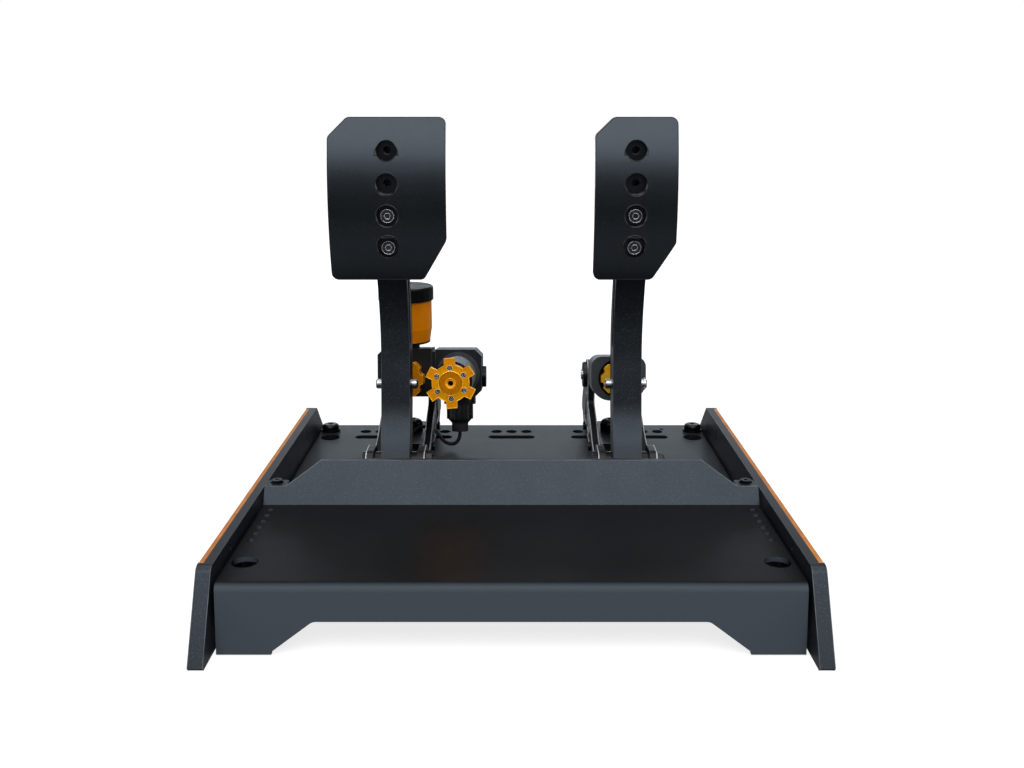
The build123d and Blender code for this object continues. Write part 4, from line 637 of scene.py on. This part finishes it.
# %% Spring
HUB = on_axis(MODULE_X, 0.0, 0.0)
SPRING_FRONT, SPRING_REAR = -0.0355, -0.0074
TURNS, STEPS = 5, 28
WIRE_RADIUS, COIL_RADIUS = 0.0009, 0.0066

coil_data = bpy.data.curves.new("return_spring", "CURVE")
coil_data.dimensions = "3D"
coil_line = coil_data.splines.new("POLY")
coil_line.points.add(TURNS * STEPS)
for i, point in enumerate(coil_line.points):
    turn = 2 * math.pi * i / STEPS
    along = SPRING_FRONT + (SPRING_REAR - SPRING_FRONT) * i / (TURNS * STEPS)
    at = HUB + ALONG * along + UP * (COIL_RADIUS * math.sin(turn))
    point.co = (at.x + COIL_RADIUS * math.cos(turn), at.y, at.z, 1)
coil_data.bevel_depth = WIRE_RADIUS
coil_data.bevel_resolution = 2
coil_curve = bpy.data.objects.new("coil_curve", coil_data)
bpy.context.collection.objects.link(coil_curve)
bpy.context.view_layer.update()
spring_mesh = bpy.data.meshes.new_from_object(coil_curve)
bpy.data.objects.remove(coil_curve)
spring = bpy.data.objects.new("return_spring", spring_mesh)
bpy.context.collection.objects.link(spring)
spring.data.materials.clear()
spring.data.materials.append(STEEL)
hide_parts("throttle_spring")
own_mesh(spring)
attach(spring, "throttle_cylinder")
print("spring faces:", len(spring_mesh.polygons))

# %% [markdown]
# ## The floor
# A studio sweep of pale paper carries a soft shadow and fades to white. More light would burn the
# paper out but also wash out the black coats. So the paper glows only for rays from the camera,
# and more so with the distance, which leaves the shadow near the tray.

# %% Floor
FLOOR_HALF = 12.0
GLOW_NEAR, GLOW_FAR = 0.8, 1.1          # strength close to the tray, and out at the horizon
FADE_FROM, FADE_TO = 0.4, 1.0           # metres from the tray's middle

floor_mesh = bpy.data.meshes.new("floor")
ground = bmesh.new()
bmesh.ops.create_grid(ground, x_segments=8, y_segments=8, size=FLOOR_HALF)
ground.to_mesh(floor_mesh)
ground.free()
floor = bpy.data.objects.new("floor", floor_mesh)
bpy.context.collection.objects.link(floor)
paper, paper_shader, paper_where = start("floor_paper")
faint = add(paper, "TexNoise", {"Vector": paper_where, "Scale": per_mm(300), "Detail": 2.0,
                                "Roughness": 0.5})
tone = add(paper, "Mix", {0: faint, 6: rgb("#a6a7a8"), 7: rgb("#a0a1a2")}, out=2,
           data_type="RGBA")
distance = add(paper, "VectorMath", {0: paper_where}, out="Value", operation="LENGTH")
glow = add(paper, "MapRange", {"Value": distance, "From Min": FADE_FROM, "From Max": FADE_TO,
                               "To Min": GLOW_NEAR, "To Max": GLOW_FAR})
seen = add(paper, "LightPath", out="Is Camera Ray")
shown = add(paper, "Math", {0: seen, 1: glow}, operation="MULTIPLY")
feed(paper, paper_shader, {"Base Color": tone, "Roughness": 0.9, "Specular IOR Level": 0.0,
                           "Emission Color": rgb("#ffffff"), "Emission Strength": shown})
floor.data.materials.append(paper)
print("floor width in metres:", 2 * FLOOR_HALF)

# %% [markdown]
# ## The backdrop
# The white room is the world's colour. The camera sees it at full strength. Polished metal sees a
# fifth of it, enough to light its edges; more would turn the black coats grey. All other light
# from it is close to nothing, so that the lamps alone shape the object.

# %% World
SEEN_BY_CAMERA, SEEN_IN_METAL, FILL = 1.0, 0.2, 0.02

world = bpy.data.worlds.new("studio")
bpy.context.scene.world = world
world.use_nodes = True
sky = world.node_tree.nodes["Background"]
to_camera = add(world, "LightPath", out="Is Camera Ray")
to_metal = to_camera.node.outputs["Is Glossy Ray"]
white = add(world, "Math", {0: to_metal, 1: SEEN_IN_METAL, 2: to_camera},
            operation="MULTIPLY_ADD")
strength = add(world, "MapRange", {"Value": white, "To Min": FILL, "To Max": SEEN_BY_CAMERA})
feed(world, sky, {"Color": (1, 1, 1, 1), "Strength": strength})
print("world strengths:", SEEN_BY_CAMERA, SEEN_IN_METAL, FILL)

# %% [markdown]
# ## The lamps
# Large soft boxes light the set, since black satin shows little but what it reflects. The key
# stands high in front, where it paints the top of the curved pads and leaves their middle black.
# Small lamps would give hard dots. The camera doesn't see the lamps themselves.


# %% Lights
def lamp(name, place, target, wide, high, power, tint=(1, 1, 1)):
    """A soft area light that points at a target."""
    data = bpy.data.lights.new(name, "AREA")
    data.shape = "RECTANGLE"
    data.size = wide
    data.size_y = high
    data.energy = power
    data.color = tint
    light = bpy.data.objects.new(name, data)
    light.location = place
    light.visible_camera = False
    light.rotation_euler = (Vector(target) - Vector(place)).to_track_quat("-Z", "Y").to_euler()
    bpy.context.collection.objects.link(light)


# Overhead: fills the deck and drops the shadow straight down.
lamp("overhead", (0, 0.1, 1.5), (0, 0.05, 0.05), 1.6, 1.2, 12)
# Key: the band across the tops of the pads, the kick plate and the knob.
lamp("key_front_high", (0, -1.05, 1.17), (0, 0, 0.2), 1.7, 0.92, 18)
# Rim: a low, cool strip behind the set, for the sheen on the deck and the top edges.
lamp("rim_low", (0, 1.5, 0.28), (0, 0, 0.05), 1.8, 0.28, 2.8, (0.78, 0.9, 1.0))
# Sides: the plates' cut edges, the pins and the ends of the block.
for side, sign in (("left", -1), ("right", 1)):
    lamp(f"side_{side}", (sign * 1.3, -0.3, 0.55), (0, 0, 0.12), 0.6, 0.8, 4)
print("lamps:", len(bpy.data.lights))

# %% [markdown]
# ## The camera
# The picture was taken from the driver's side, near enough for the tray to widen towards it.
# Placing the camera by eye leaves every edge a little off. So its place, tilt and lens were
# solved from the tray's straight edges, and the render lines up with the photograph.

# %% Camera
lens = bpy.data.cameras.new("camera")
lens.sensor_width = 36
lens.lens = 37.09
lens.clip_start = 0.01
camera = bpy.data.objects.new("camera", lens)
camera.location = (0.0004, -0.6985, 0.2834)
camera.rotation_euler = (math.radians(75.696), 0, 0)
bpy.context.collection.objects.link(camera)
bpy.context.scene.camera = camera
bpy.context.scene.view_settings.view_transform = "Standard"
print("camera at:", tuple(round(c, 4) for c in camera.location))
